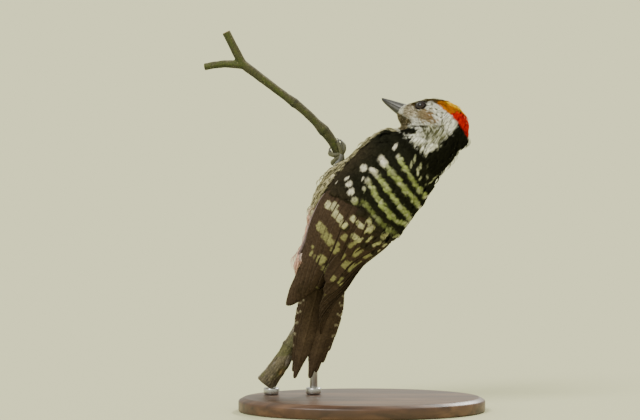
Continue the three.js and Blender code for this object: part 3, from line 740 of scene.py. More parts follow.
def face_tints(side, forward, up, lot, shaft, olive_share):
    uneven = lot - 0.5
    face = streaked_white(lot, shaft * 0.8, olive_share)
    ear = patch_at(forward, up, (2.4, -1.6), (7.8, 3.8), 0.24)
    ear_buff = mix_colour(*ear_buffs, draw_lots(lot, 4.9))
    brown = blend_step(5.5, -1.5, forward) * blend_step(-4.0, -0.5, up - 0.1 * forward)
    ear_buff = mix_colour(ear_buff, ear_brown, brown * (0.45 + 0.5 * draw_lots(lot, 6.7)))
    face = mix_colour(face, ear_buff, blend_step(1.25, 0.6, ear + uneven * 0.9))
    speckled = patch_at(forward, up, (11.5, -0.8), (4.5, 4.4), 0)
    speckle = mix_colour(*speckles, (draw_lots(lot, 15.1) < 0.48) * 0.9)
    face = mix_colour(face, speckle, blend_step(1.2, 0.8, speckled + uneven * 0.4))
    mixed = (draw_lots(lot, 8.9) > 0.62) * draw_lots(lot, 2.3)
    malar = mix_colour(*cheek_browns, mixed)
    low_face = blend_step(-4.3, -6.2, up + 0.22 * (10 - forward) + uneven * 1.6)
    face = mix_colour(face, malar, low_face * blend_step(5.5, 8.5, forward + uneven * 2))
    throat = mix_colour(*throat_buffs, draw_lots(lot, 2.9) ** 1.5)
    on_throat = blend_step(-9, -11, up) * blend_step(9.5, 7, side) * blend_step(2, 6, forward)
    face = mix_colour(face, throat, on_throat)
    off_line = np.abs(up + 9.3 - 0.32 * (4.8 - forward) * (forward < 4.8)) + np.abs(uneven) * 0.9
    lined = blend_step(0.95, 0.5, off_line) * blend_step(-3.5, -2, forward) * blend_step(6.5, 5, forward)
    return mix_colour(face, moustache_black, lined * 0.9)


def crown_tints(forward, up, lot, along):
    uneven = lot - 0.5
    umber = mix_colour(*forehead_umbers, draw_lots(lot, 3.3))
    orange = mix_colour(*crown_oranges, draw_lots(lot, 3.9) ** 1.4)
    yellow_share = blend_step(8.3, 9.6, up + uneven * 1.2) * blend_step(-2, -5, forward)
    orange = mix_colour(orange, crown_yellow, yellow_share)
    red = mix_colour(*nape_reds, draw_lots(lot, 4.3))
    from_forehead = forward + 0.9 * blend_step(8.2, 10.4, up) * 3 + uneven * 2.2
    crown = mix_colour(umber, orange, blend_step(1.2, -1.6, from_forehead))
    border = np.interp(forward + uneven * 1.2, [-14.6, -12.2, -10.9, -9.6, -9.0], [8.1, 8.3, 6.0, 3.6, -20])
    crown = mix_colour(crown, red, blend_step(0.5, -0.5, up - border + uneven * 0.9))
    return crown * (0.75 + 0.35 * along)[:, None]


def plumage(points, along, across, lot):
    height, angle, reach = round_body(points)
    head = in_head(points)
    side, forward, up = np.abs(head[:, 0]), head[:, 1], head[:, 2]
    uneven = lot - 0.5
    shaft = np.exp(-((across / 0.34) ** 2)) * blend_step(0.1, 0.35, along)
    under = underparts(height, lot, shaft, along)
    over = upperparts(in_body(points), height, angle, reach, lot, along)
    from_wing = np.abs(angle) - read_edge(wing_edge, height) + uneven * 6
    body = mix_colour(over, under, blend_step(-2, 2, from_wing))
    right_of_nape = -angle - np.interp(height, nape_edge[:, 0], nape_edge[:, 2])
    from_nape = np.maximum(angle - read_edge(nape_edge, height), right_of_nape)
    olive_share = blend_step(1.3, 0.5, patch_at(forward, up, (-7, -8.5), (6.5, 5.2), 0))
    pale_neck = streaked_white(lot, shaft, olive_share)
    black = np.array(black_feather) * (0.7 + 0.7 * along)[:, None]
    neck = mix_colour(black, pale_neck, blend_step(-3, 3, from_nape + uneven * 9))
    colour = mix_colour(body, neck, blend_step(41, 43, height + uneven * 3))
    face = face_tints(side, forward, up, lot, shaft, olive_share)
    face_mask = blend_step(-9, -5, forward) * blend_step(-13.5, -11, up + 0.15 * forward) * (height > 42)
    colour = mix_colour(colour, face, face_mask)
    shoulder_patch = patch_at(forward, up, (5.4, -12.4), (4.6, 1.9), -0.3) + uneven * 0.5
    colour = mix_colour(colour, black_feather, blend_step(1.15, 0.85, shoulder_patch) * (side > 8.5))
    above_edge = blend_step(-0.4, 0.4, up - read_edge(crown_edge, forward) + uneven * 0.9)
    crown_mask = above_edge * blend_step(-19.8, -18.9, forward) * (height > 50)
    colour = mix_colour(colour, crown_tints(forward, up, lot, along), crown_mask)
    return colour * (0.55 + 0.45 * blend_step(0, 0.35, along))[:, None]


skin_points = points_of(skin)
from_eyes = [np.linalg.norm(in_head(skin_points) - centre, axis=1) for centre in eye_centres.values()]
bare_ring = blend_step(4.2, 3.4, np.min(from_eyes, axis=0))
no_vane = np.ones(len(skin_points))
skin_tint = plumage(skin_points, no_vane, no_vane * 0.8, no_vane * 0.5) * 0.6
colour_points(skin, mix_colour(skin_tint, bare_skin, bare_ring))

# Fine barbs run slantwise from the shaft of every vane, and the vane is a little mottled.
barbs, barbs_in, barbs_out = new_group(
    "feather barbs",
    [("Count", "NodeSocketFloat", 60.0), ("Slant", "NodeSocketFloat", 0.5)],
    [("Ridges", "NodeSocketFloat"), ("Mottle", "NodeSocketColor")],
)


def worked_out(tree, operation, *terms):
    """A sum on sockets and numbers, in their order."""
    made = node(tree, "ShaderNodeMath", {"operation": operation})
    for socket, term in zip(made.inputs, terms):
        if isinstance(term, float):
            socket.default_value = term
        else:
            tree.links.new(term, socket)
    return made.outputs[0]


vane_map = node(barbs, "ShaderNodeUVMap", {"uv_map": "Vane"})
on_vane = node(barbs, "ShaderNodeSeparateXYZ", links={"Vector": vane_map.outputs["UV"]})
off_shaft = worked_out(barbs, "ABSOLUTE", worked_out(barbs, "SUBTRACT", on_vane.outputs["X"], 0.5))
swept = worked_out(barbs, "MULTIPLY", off_shaft, barbs_in.outputs["Slant"])
barb_run = worked_out(barbs, "SUBTRACT", on_vane.outputs["Y"], swept)
barb_turns = worked_out(barbs, "MULTIPLY", barb_run, barbs_in.outputs["Count"])
barb_wave = worked_out(barbs, "SINE", worked_out(barbs, "MULTIPLY", barb_turns, 2 * math.pi))
barbs.links.new(barb_wave, barbs_out.inputs["Ridges"])
mottle = pattern(barbs, "ShaderNodeTexNoise", Scale=900.0, Detail=3.0)
barbs.links.new(grey_ramp(barbs, mottle.outputs["Fac"], (0.3, 0.75), (0.7, 1.25)), barbs_out.inputs["Mottle"])


def feather_finish(name, count, slant, depth, roughness):
    finish, tree, shader = new_finish(name, roughness, Specular_IOR_Level=0.0)
    vane = placed_group(tree, barbs, Count=count, Slant=slant)
    tree.links.new(tinted(tree, vane.outputs["Mottle"]), shader.inputs["Base Color"])
    add_relief(tree, shader, vane.outputs["Ridges"], 0.5, depth)
    return finish


coat_finish = feather_finish("body feathers", count=14.0, slant=0.5, depth=0.00004, roughness=0.8)
smooth(skin)
finish_piece(skin, "skin", coat_finish, "body_plumage", *flesh)

# --- The coat ---------------------------------------------------------------------------------------
# Every feather of the coat is a thin vane rooted in the skin, split into barbs at its tip and laid
# over the next one towards the tail. They are smallest round the bill and eyes.
skin_tree = search_tree(skin)
patch_size = 0.003
eye_clear = 2.68


def on_skin(points):
    found = [skin_tree.find_nearest(Vector(point)) for point in points]
    return np.array([hit[0] for hit in found]), np.array([hit[1] for hit in found])


def along_skin(lie, normals):
    return unit(lie - normals * np.einsum("ij,ij->i", lie, normals)[:, None])


def lie_of_coat(points, normals):
    """Back from the bill over the head, and towards the tail behind it."""
    away = unit(points - from_head([bill_root])[0])
    tailward = np.tile(-body_axes[:, 2], (len(points), 1))
    head = in_head(points)
    backward = np.clip(blend_step(1, -12, head[:, 1]) + blend_step(-7, -13, head[:, 2]), 0, 1)[:, None]
    return along_skin(away * (1 - backward) + tailward * backward, normals)


def lie_of_bristles(points, normals):
    return -lie_of_coat(points, normals)


def lie_of_flanks(points, normals):
    return along_skin(lie_of_coat(points, normals) + 0.55 * body_axes[:, 1], normals)


def scatter(piece, spacing_at, inside, seed):
    """Roots spread over the faces of a piece, no two nearer than the spacing there."""
    drawn = np.random.default_rng(seed)
    mesh = piece.data
    mesh.calc_loop_triangles()
    corners = np.zeros(len(mesh.loop_triangles) * 3, np.int32)
    mesh.loop_triangles.foreach_get("vertices", corners)
    corners = corners.reshape(-1, 3)
    places = points_of(piece)
    first, second, third = (places[corners[:, k]] for k in range(3))
    middle = (first + second + third) / 3
    area = np.linalg.norm(np.cross(second - first, third - first), axis=1) / 2
    gap = spacing_at(middle) * mm
    wanted = area / gap**2 * inside(middle)
    count = int(wanted.sum() * 7)
    picked = drawn.choice(len(corners), count, p=wanted / wanted.sum())
    u, v = drawn.random((2, count))
    over = u + v > 1
    u[over], v[over] = 1 - u[over], 1 - v[over]
    spots = first[picked] + (second - first)[picked] * u[:, None] + (third - first)[picked] * v[:, None]
    crowd = point_tree(spots)
    free = np.ones(count, bool)
    kept = []
    for number in range(count):
        if free[number]:
            kept.append(number)
            for _, other, _ in crowd.find_range(spots[number], gap[picked[number]]):
                free[other] = False
    return spots[kept]


def unwrap_skin(points):
    """The skin's own unwrap: round the body across the map, and up the spine along it."""
    height, angle, _ = round_body(points)
    return np.column_stack([(angle + 180) / 360 * 0.98 + 0.01, np.clip((height + 70) / 150, 0.01, 0.99)])


def mesh_of(title, points, faces, tints, maps):
    """A smooth piece from quads, with a colour for each point and named maps, one place each."""
    mesh = bpy.data.meshes.new(title)
    mesh.vertices.add(len(points))
    mesh.vertices.foreach_set("co", points.astype(np.float32).ravel())
    mesh.loops.add(faces.size)
    mesh.loops.foreach_set("vertex_index", faces.ravel().astype(np.int32))
    mesh.polygons.add(len(faces))
    mesh.polygons.foreach_set("loop_start", np.arange(0, faces.size, 4, dtype=np.int32))
    mesh.polygons.foreach_set("loop_total", np.full(len(faces), 4, np.int32))
    mesh.update(calc_edges=True)
    mesh.validate()
    mesh.polygons.foreach_set("use_smooth", np.ones(len(faces), bool))
    piece = bpy.data.objects.new(title, mesh)
    bpy.context.scene.collection.objects.link(piece)
    colour_points(piece, tints)
    for name, places in maps.items():
        layer = mesh.uv_layers.new(name=name)
        layer.data.foreach_set("uv", places[faces.ravel()].astype(np.float32).ravel())
    return piece


def lines_over_skin(roots, length, depth, sway, rows, lie, drawn):
    """The middle line of each vane, with the skin's outward and sideways directions along it."""
    centre, normal = on_skin(roots)
    lines, ups, sides = [], [], []
    for part in np.linspace(0, 1, rows + 1):
        flow = lie(centre, normal)
        across = unit(np.cross(normal, flow))
        flow = unit(flow + across * (sway * (2.2 * part - 0.4))[:, None])
        rise = 0.10 + 0.90 * math.sin(min(1, part / 0.62) * math.pi / 2) - 0.22 * blend_step(0.62, 1, part)
        lift = depth * rise + drawn.normal(0, 0.03, len(roots)) * mm
        lines.append(centre + normal * lift[:, None])
        ups.append(normal)
        sides.append(across)
        if part < 1:
            centre, normal = on_skin(centre + flow * (length / rows)[:, None])
    return np.array(lines), np.array(ups), np.array(sides)


def clear_of_eyes(lines):
    keep = np.ones(lines.shape[1], bool)
    for line_here in lines:
        head = in_head(line_here)
        for centre in eye_centres.values():
            from_eye = np.linalg.norm((head - centre) * (0, 1, 1.3), axis=1)
            keep &= (from_eye > eye_clear) | (head[:, 0] * centre[0] < 0)
    return np.flatnonzero(keep)


def lay_vanes(title, roots, sizes, strips, rows, split, ruffle, seed, lie=lie_of_coat):
    """A piece of coat: a split vane from every root, of the length, width and depth in sizes."""
    drawn = np.random.default_rng(seed)
    count = len(roots)
    length, width, depth = (np.broadcast_to(size, count) * mm for size in sizes)
    length = length * drawn.uniform(0.82, 1.18, count)
    depth = depth * (1 + 0.6 * drawn.random(count) ** 7)
    lot = drawn.random(count)
    sway = drawn.normal(0, ruffle, count)
    lines, ups, sides = lines_over_skin(roots, length, depth, sway, rows, lie, drawn)
    held = clear_of_eyes(lines)
    parts = np.linspace(0, 1, rows + 1)
    outline = np.interp(parts, [0, 0.2, 0.5, 0.75, 0.92, 1], [0.8, 0.9, 1.0, 0.92, 0.62, 0.34])
    middle = (np.arange(strips) + 0.5) * 2 / strips - 1
    slack = drawn.random((count, strips))[held]
    bend = drawn.normal(0, 0.16, (count, strips))[held]
    reach = (1 - (0.16 + 0.2 * np.abs(middle)) * slack)[..., None]
    stretch = np.where(parts <= split, parts, split + (parts - split) * reach)
    row_below = np.minimum((stretch * rows).astype(int), rows - 1)
    between = (stretch * rows - row_below)[..., None]
    vane = held[:, None, None]
    line_at, up_at, side_at = (
        stack[row_below, vane] * (1 - between) + stack[row_below + 1, vane] * between
        for stack in (lines, ups, sides)
    )
    loose = blend_step(split, 1, parts)
    fan = middle[:, None] * (1 + 0.12 * loose) + bend[..., None] * loose * 0.5
    edge = np.stack([-(1 - 0.8 * loose), 1 - 0.8 * loose], -1) / strips
    place = (fan[..., None] + edge) * np.interp(stretch, parts, outline)[..., None]
    half_width = (width[held] / 2)[:, None, None, None]
    points = (
        line_at[:, :, :, None]
        + side_at[:, :, :, None] * (place * half_width)[..., None]
        - up_at[:, :, :, None] * (0.32 * half_width * place**2)[..., None]
    ).reshape(-1, 3)
    along = np.broadcast_to(stretch[..., None], place.shape).ravel()
    across = place.ravel()
    vane_of = np.repeat(np.arange(len(held)), strips * (rows + 1) * 2)
    cell = np.arange(rows) * 2 + (np.arange(len(held) * strips) * (rows + 1) * 2)[:, None]
    faces = np.stack([cell, cell + 1, cell + 3, cell + 2], -1).reshape(-1, 4)
    patch = unwrap_skin(roots[held])[vane_of] + patch_size * np.column_stack([across * 0.5, along])
    maps = {"Vane": np.column_stack([across * 0.5 + 0.5, along]), "OFBake": patch}
    return mesh_of(title, points, faces, plumage(points, along, across, lot[held][vane_of]), maps)


def on_face(points):
    head = in_head(points)
    below_crown = head[:, 2] < read_edge(crown_edge, head[:, 1])
    return (head_share(points) > 0.75) & below_crown & (head[:, 1] > -7)


def on_crown(points):
    head = in_head(points)
    return (round_body(points)[0] > 50) & (head[:, 2] >= read_edge(crown_edge, head[:, 1]))


def on_neck(points):
    return (round_body(points)[0] > 41) & ~on_face(points) & ~on_crown(points)


def on_upperside(points):
    height, angle, _ = round_body(points)
    return np.abs(angle) < read_edge(wing_edge, height) - 1


def on_wing(points):
    height, angle, _ = round_body(points)
    inner = np.interp(height, [-16, -3, 8, 24, 38], [7, 28, 46, 62, 70])
    return (height > -5) & (height < 38) & (np.abs(angle) > inner + 3) & on_upperside(points)


def on_back(points):
    height = round_body(points)[0]
    beside_flight_feathers = (height > -8) | (height < -26)
    return (height <= 41) & beside_flight_feathers & ~on_wing(points) & on_upperside(points)


def belly_left(points):
    height, angle, _ = round_body(points)
    return (height <= 41) & ~on_upperside(points) & (angle > 0)


def belly_right(points):
    height, angle, _ = round_body(points)
    return (height <= 41) & ~on_upperside(points) & (angle <= 0)


def beside_bill(points):
    head = in_head(points)
    return (head[:, 1] > 12.2) & (np.linalg.norm(head - (0, 15, -2), axis=1) < 5.4)


def on_flanks(points):
    height, angle, _ = round_body(points)
    start = np.interp(height, [-46, -38, -32], [74, 88, 96])
    beside_wings = (np.abs(angle) > start) & (np.abs(angle) < start + 18) & (height > -46) & (height < -32)
    return beside_wings | (height < -50) & (np.abs(angle) > 70)


def swelling(points):
    """The coat is thick on the hindneck, and the mantle's last rows lie over the folded wings."""
    height, angle, _ = round_body(points)
    hindneck = np.exp(-(((height - 53) / 7) ** 2)) * blend_step(75, 35, np.abs(angle + 20))
    over_wings = blend_step(8, 1, height) * blend_step(-9, -6, height) * blend_step(60, 45, np.abs(angle))
    breast = blend_step(-20, -8, height) * blend_step(12, 2, height) * blend_step(86, 98, np.abs(angle))
    return 1 + 0.25 * hindneck + 0.9 * over_wings + 0.4 * breast


def graded(points, ends):
    """From the first value at the bill to the second one behind the head."""
    return np.interp(np.linalg.norm(in_head(points) - bill_root, axis=1), [4, 24], ends)


# For each region: spacing, length, width and depth of its vanes in millimetres, at the bill and
# behind the head, strips across a vane, rows down it, where it splits into barbs, and its ruffle.
coat_regions = [
    ("coat_face", on_face, (0.42, 0.64), (1.2, 2.7), (0.36, 0.66), (0.45, 1.1), 3, 4, 0.4, 0.14),
    ("coat_crown", on_crown, (0.46, 0.68), (1.8, 4.4), (0.40, 0.75), (0.45, 1.15), 3, 5, 0.45, 0.06),
    ("coat_neck", on_neck, (0.74, 0.80), (4.0, 6.0), (0.8, 1.2), (1.2, 2.2), 5, 6, 0.3, 0.22),
    ("coat_back", on_back, (1.65, 1.65), (7.5, 7.5), (4.0, 4.0), (2.1, 2.1), 8, 7, 0.72, 0.08),
    ("coat_belly_left", belly_left, (1.45, 1.45), (8.0, 8.0), (3.2, 3.2), (2.3, 2.3), 8, 7, 0.45, 0.16),
    ("coat_belly_right", belly_right, (1.55, 1.55), (8.0, 8.0), (3.2, 3.2), (2.3, 2.3), 8, 7, 0.45, 0.16),
    ("coat_wings", on_wing, (1.75, 1.75), (7.0, 7.0), (4.2, 4.2), (1.6, 1.6), 8, 7, 0.85, 0.06),
]
for number, (title, where, spacing, *grades, strips, rows, split, ruffle) in enumerate(coat_regions):
    roots = scatter(skin, lambda points: graded(points, spacing), where, 20 + number)
    length, width, depth = (graded(roots, ends) for ends in grades)
    sizes = (length, width, depth * swelling(roots))
    piece = lay_vanes(title, roots, sizes, strips, rows, split, ruffle, 40 + number)
    finish_piece(piece, title, coat_finish, "body_plumage")
# Fine bristles at the root of the bill lie forward over the horn.
roots = scatter(skin, lambda points: np.full(len(points), 0.36), beside_bill, 31)
bristle = {"strips": 2, "rows": 5, "split": 0.35, "ruffle": 0.2, "seed": 51, "lie": lie_of_bristles}
piece = lay_vanes("coat_bristles", roots, (1.7, 0.26, 0.55), **bristle)
finish_piece(piece, "coat_bristles", coat_finish, "body_plumage")
# Long loose plumes of the flanks and rump sides lie up over the edges of the folded wings.
roots = scatter(skin, lambda points: np.full(len(points), 1.15), on_flanks, 30)
plume = {"strips": 8, "rows": 7, "split": 0.25, "ruffle": 0.13, "seed": 50, "lie": lie_of_flanks}
piece = lay_vanes("coat_flanks", roots, (10.5, 2.3, 5.0), **plume)
finish_piece(piece, "coat_flanks", coat_finish, "body_plumage")

# --- The bill ---------------------------------------------------------------------------------------
# A straight chisel of grey horn in two halves that meet along the gape. The upper half has a sharp
# ridge and a groove on each side, and both are paler along their cutting edges.
bill_from, bill_tip, gape_drop = 13.6, 30.0, 1.9
root_half_width, tip_half_width, width_taper = 3.65, 0.68, 0.76
# For each half: upwards or down, height at the tip, height added at the root, how much shorter it
# is, how flat its crown is, height of the ridge, and how pale its cutting edge is.
bill_halves = {
    "upper": (1, 0.46, 3.75, 0, 0.96, 0.10, 0.75),
    "lower": (-1, 0.50, 3.35, 0.35, 1.0, 0, 0.9),
}
dark_horn, pale_horn, tip_horn, inner_horn = (
    (0.026, 0.025, 0.021), (0.165, 0.160, 0.150), (0.016, 0.016, 0.013), (0.03, 0.027, 0.024)
)

horn_finish, tree, shader = new_finish("bill horn", 0.38, Specular_IOR_Level=0.5)
horn_wear = pattern(tree, "ShaderNodeTexNoise", Scale=700.0, Detail=5.0).outputs["Fac"]
tree.links.new(tinted(tree, grey_ramp(tree, horn_wear, (0.3, 0.75), (0.7, 1.3))), shader.inputs["Base Color"])
add_relief(tree, shader, horn_wear, 0.3, 0.00008)


def skin_rings(title, rings, colours):
    """A closed limb through rings of places in metres: rows x around x 3, its faces outwards."""
    rings = np.asarray(rings)
    rows, around = rings.shape[:2]
    points = np.vstack([rings.reshape(-1, 3), rings[0].mean(0), rings[-1].mean(0)])
    faces = []
    for row in range(rows - 1):
        for spot in range(around):
            after = (spot + 1) % around
            low_left, low_right = row * around + spot, row * around + after
            faces.append((low_left, low_right, low_right + around, low_left + around))
    for hub, row in ((rows * around, 0), (rows * around + 1, rows - 1)):
        for spot in range(around):
            faces.append((hub, row * around + spot, row * around + (spot + 1) % around))
    mesh = bpy.data.meshes.new(title)
    mesh.from_pydata([tuple(point) for point in points], [], faces)
    form = bmesh.new()
    form.from_mesh(mesh)
    bmesh.ops.recalc_face_normals(form, faces=form.faces)
    form.to_mesh(mesh)
    form.free()
    mesh.polygons.foreach_set("use_smooth", np.ones(len(mesh.polygons), bool))
    piece = bpy.data.objects.new(title, mesh)
    bpy.context.scene.collection.objects.link(piece)
    colour_points(piece, np.vstack([colours, colours[:1], colours[-1:]]))
    return piece


def bulge(value, centre, width):
    return np.exp(-(((value - centre) / width) ** 2))


for word, (upward, tip_tall, root_tall, shorter, flatness, ridge_height, paleness) in bill_halves.items():
    turns = np.linspace(0, math.pi, 33)
    flank, rise = np.cos(turns), np.sin(turns)
    crown = (rise**0.92 + ridge_height * bulge(flank, 0, 0.16)) * flatness
    across_gape = np.linspace(-1, 1, 9)[1:-1]
    rings, tints = [], []
    for part in np.linspace(0, 1, 48):
        taper = (1 - part) ** width_taper
        wide = tip_half_width + (root_half_width - tip_half_width) * taper
        tall = tip_tall + root_tall * taper * (1 - 0.04 * part)
        gape = -gape_drop * taper + upward * 0.06
        forward = bill_from + (bill_tip - bill_from - shorter) * part
        groove = 0.10 * bulge(rise, 0.66, 0.09) * (1 - part) ** 0.5
        aside = flank * wide * (1 - groove + 0.06 * bulge(rise, 0.46, 0.08))
        outer = np.column_stack([aside, np.full(33, forward), gape + upward * crown * tall])
        inner = np.column_stack([across_gape * wide * 0.98, np.full(7, forward), np.full(7, gape)])
        rings.append(from_head(np.vstack([outer, inner])))
        cutting_edge = bulge(rise, 0.22, 0.16) * paleness * (0.95 - 0.8 * part)
        tone = mix_colour(dark_horn, pale_horn, cutting_edge)
        tints.append(mix_colour(tone, tip_horn, 0.8 * blend_step(0.55, 0.95, part)))
        tints.append(np.tile(inner_horn, (7, 1)))
    piece = skin_rings("bill_horn_" + word, rings, np.vstack(tints))
    finish_piece(piece, "bill_horn_" + word, horn_finish, "bill_horn", "bill_" + word)

# --- The eyes and their lids ------------------------------------------------------------------------
# Each eye is a dark brown glass ball with a black pupil under a clear, bulging front. A narrow ring
# of bare grey lid with fine creases lies round it, and the small feathers of the face start there.
lid_long, lid_tall, lid_slant, lid_thick = 2.62, 1.98, 0.10, 0.34
iris_brown, iris_edge = (0.022, 0.009, 0.008), (0.012, 0.005, 0.004)
pupil_black, eye_rim = (0.002, 0.002, 0.002), (0.008, 0.006, 0.006)

glass = {"Coat_Weight": 0.35, "Coat_Roughness": 0.03, "Specular_IOR_Level": 0.3}
eye_finish, tree, shader = new_finish("eye glass", 0.15, **glass)
flecks = pattern(tree, "ShaderNodeTexNoise", Scale=2600.0, Detail=3.0).outputs["Fac"]
tree.links.new(tinted(tree, grey_ramp(tree, flecks, (0.35, 0.7), (0.65, 1.3))), shader.inputs["Base Color"])

lid_finish, tree, shader = new_finish("eyelid skin", 0.7, Specular_IOR_Level=0.12)
creases = pattern(tree, "ShaderNodeTexVoronoi", Scale=3200.0).outputs["Distance"]
lid_tone = ramp(tree, creases, [(0.0, (0.006, 0.005, 0.0045)), (0.6, (0.018, 0.014, 0.012))])
tree.links.new(lid_tone, shader.inputs["Base Color"])
add_relief(tree, shader, creases, 0.6, 0.00006)

for word, side in both_sides.items():
    gaze = unit(np.array((side, 0.16, 0.06)))
    centre, ahead = from_head([eye_centres[word], eye_centres[word] + gaze])
    gaze_world = unit(ahead - centre)
    select_only()
    bpy.ops.mesh.primitive_uv_sphere_add(
        segments=64,
        ring_count=40,
        radius=eye_radius * mm,
        location=centre,
        rotation=Vector(gaze_world).to_track_quat("Z", "Y").to_euler(),
    )
    eye = bpy.context.object
    settle(eye)
    outward = (points_of(eye) - centre) / (eye_radius * mm)
    facing = np.degrees(np.arccos(np.clip(outward @ gaze_world, -1, 1)))
    clear_front = 1 + 0.05 * blend_step(50, 20, facing)
    move_points(eye, centre + outward * (eye_radius * mm * clear_front)[:, None])
    iris = mix_colour(iris_brown, iris_edge, blend_step(30, 50, facing))
    iris = mix_colour(pupil_black, iris, blend_step(24, 27, facing))
    colour_points(eye, mix_colour(iris, eye_rim, blend_step(52, 58, facing)))
    smooth(eye)
    finish_piece(eye, "eyeball_" + word, eye_finish, "eyes", "eye_" + word)
    select_only()
    bpy.ops.mesh.primitive_torus_add(
        major_radius=1, minor_radius=lid_thick, major_segments=96, minor_segments=20
    )
    lid = bpy.context.object
    ring = points_of(lid)
    turn = np.arctan2(ring[:, 1], ring[:, 0])
    out = np.hypot(ring[:, 0], ring[:, 1]) - 1
    swell = 1.05 + 0.05 * np.sin(turn * 34) + 0.04 * np.sin(np.arctan2(ring[:, 2], out) * 5)
    out = out * swell
    reach = np.hypot(lid_long * np.cos(turn), lid_tall * np.sin(turn))
    over_ball = np.sqrt(np.clip(eye_radius**2 - reach**2, 0.2, None)) + ring[:, 2] * swell - out * 0.5
    forward = (lid_long + out) * np.cos(turn)
    up = (lid_tall + out) * np.sin(turn) - lid_slant * np.cos(turn) * lid_tall
    turned = Vector((side, 0, 0)).rotation_difference(Vector(gaze)).to_matrix()
    placed = np.column_stack([side * over_ball, forward, up]) @ np.array(turned).T
    move_points(lid, from_head(placed + eye_centres[word]))
    select_only(lid)
    bpy.ops.object.mode_set(mode="EDIT")
    bpy.ops.mesh.select_all(action="SELECT")
    bpy.ops.mesh.normals_make_consistent(inside=False)
    bpy.ops.object.mode_set(mode="OBJECT")
    smooth(lid)
    finish_piece(lid, "eyelid_" + word, lid_finish, "leg_skin")

# --- The flight feathers ----------------------------------------------------------------------------
# Each folded wing shows three tertials, five secondaries and eight primaries. Each feather is a thin
# curved blade on a raised shaft, and its outer web lies over the next feather down the wing.
# From the innermost tertial out: root height and angle, the angles a third and two thirds of the
# way down, tip height and angle, and half width.
flight_feathers = [
    (9, 26, 13, -3, -38.5, -20, 5.2), (7, 38, 26, 10, -43.5, -11, 5.1), (5, 49, 38, 22, -47.5, -4, 5.0),
    (3.5, 58, 48, 29, -51, -3, 4.8), (2, 65, 56.5, 37, -53, 1, 4.6), (0.5, 71, 63, 43, -55.5, 8, 4.4),
    (-0.5, 76, 69, 48.5, -57.3, 15, 4.3), (-1.5, 80, 74, 53, -58.6, 22, 4.2),
    (-2.5, 83, 78, 56.5, -59.5, 29, 4.0), (-3, 85, 81, 59.5, -60, 35, 3.8),
    (-3.5, 86.5, 83, 61.5, -60.3, 41, 3.6), (-4, 87.8, 85, 63, -60.5, 46, 3.4),
    (-4.5, 89, 86.5, 64.5, -60.5, 50, 3.2), (-5, 90, 88, 66, -60, 54, 3.0),
    (-5.5, 91, 90.5, 69, -57, 58, 2.7), (-6, 92, 94, 96, -39, 95, 2.3),
]
tertials, first_primary, outermost_primary = 3, 8, 15
flight_browns = {
    "outer web": (0.059, 0.039, 0.026), "inner web": (0.043, 0.029, 0.019), "shaft": (0.020, 0.014, 0.009),
    "worn edge": (0.088, 0.066, 0.046), "painted lilac sheen": (0.25, 0.19, 0.20),
}
# The wing's spots are darker towards its tip.
spot_buffs = ((0.285, 0.275, 0.118), (0.50, 0.48, 0.29))
# Width down a feather as a part of its greatest: the inner ones are rounded, the primaries pointed.
rounded = np.array([
    (0, 0.35), (0.12, 0.8), (0.4, 1), (0.8, 0.95), (0.9, 0.8), (0.96, 0.52), (0.985, 0.3), (1, 0.04),
])
pointed = np.array([
    (0, 0.35), (0.12, 0.85), (0.4, 1), (0.65, 0.9), (0.88, 0.68), (0.95, 0.46), (0.985, 0.26), (1, 0.04),
])
# How far the blades lie over the coat: at their roots, at the innermost, less for each one further
# out, less on the right wing, and less at the tips.
root_lift, top_lift, lift_step, right_sunk, tip_sunk = -1.4, 2.2, 0.075, 0.35, 0.55
flight_finish = feather_finish("flight feathers", count=150.0, slant=0.22, depth=0.00005, roughness=0.62)


def feather_blade(spine_line, ups, half_widths, drawn, tilt, camber, shaft):
    """A ragged blade of rows x columns along its shaft: points, and the place of each on the vane."""
    rows = len(spine_line)
    shares = np.concatenate([np.linspace(-1, -0.1, 8), [-0.045, 0, 0.045], np.linspace(0.1, 1, 8)])
    along = unit(np.gradient(spine_line, axis=0))
    across = unit(np.cross(ups, along))
    ups = unit(np.cross(along, across))
    parts = np.linspace(0, 1, rows)
    ragged = 1 + drawn.normal(0, 0.012, (rows, 2))
    # Seven nicks in its edges: where along them, how wide and how deep.
    nicks = [drawn.uniform(*ends, 7) for ends in ((0.35, 0.97), (0.005, 0.012), (0.04, 0.14))]
    for at, wide, deep in zip(*nicks):
        ragged[:, drawn.integers(2)] -= deep * np.exp(-(((parts - at) / wide) ** 2))
    web = (shares > 0).astype(int)
    edge = np.where(np.abs(shares) > 0.9, ragged[:, web], 1)
    reach = shares * half_widths[:, web] * edge
    shaft_rise = shaft * np.clip(1 - (shares / 0.08) ** 2, 0, None) * (1 - 0.85 * parts[:, None])
    rise = tilt * shares - camber * shares**2 + shaft_rise
    points = spine_line[:, None] + across[:, None] * reach[..., None] + ups[:, None] * rise[..., None]
    return points, *np.broadcast_arrays(parts[:, None], shares)


def join_blades(title, blades, thickness):
    """One piece from blades, each given by its points, places down and across the vane, and tints."""
    faces, start = [], 0
    for _, part, _, _ in blades:
        grid = start + np.arange(part.size).reshape(part.shape)
        quads = np.stack([grid[:-1, :-1], grid[:-1, 1:], grid[1:, 1:], grid[1:, :-1]], -1)
        faces.append(quads.reshape(-1, 4))
        start += part.size
    points, part, share, tints = (
        np.vstack([blade[k].reshape(-1, width) for blade in blades])
        for k, width in enumerate((3, 1, 1, 3))
    )
    vane = np.hstack([0.5 + 0.5 * share, part])
    piece = mesh_of(title, from_body(points), np.vstack(faces), tints, {"Vane": vane})
    apply_modifier(piece, "SOLIDIFY", thickness=thickness * mm, offset=-1)
    return piece


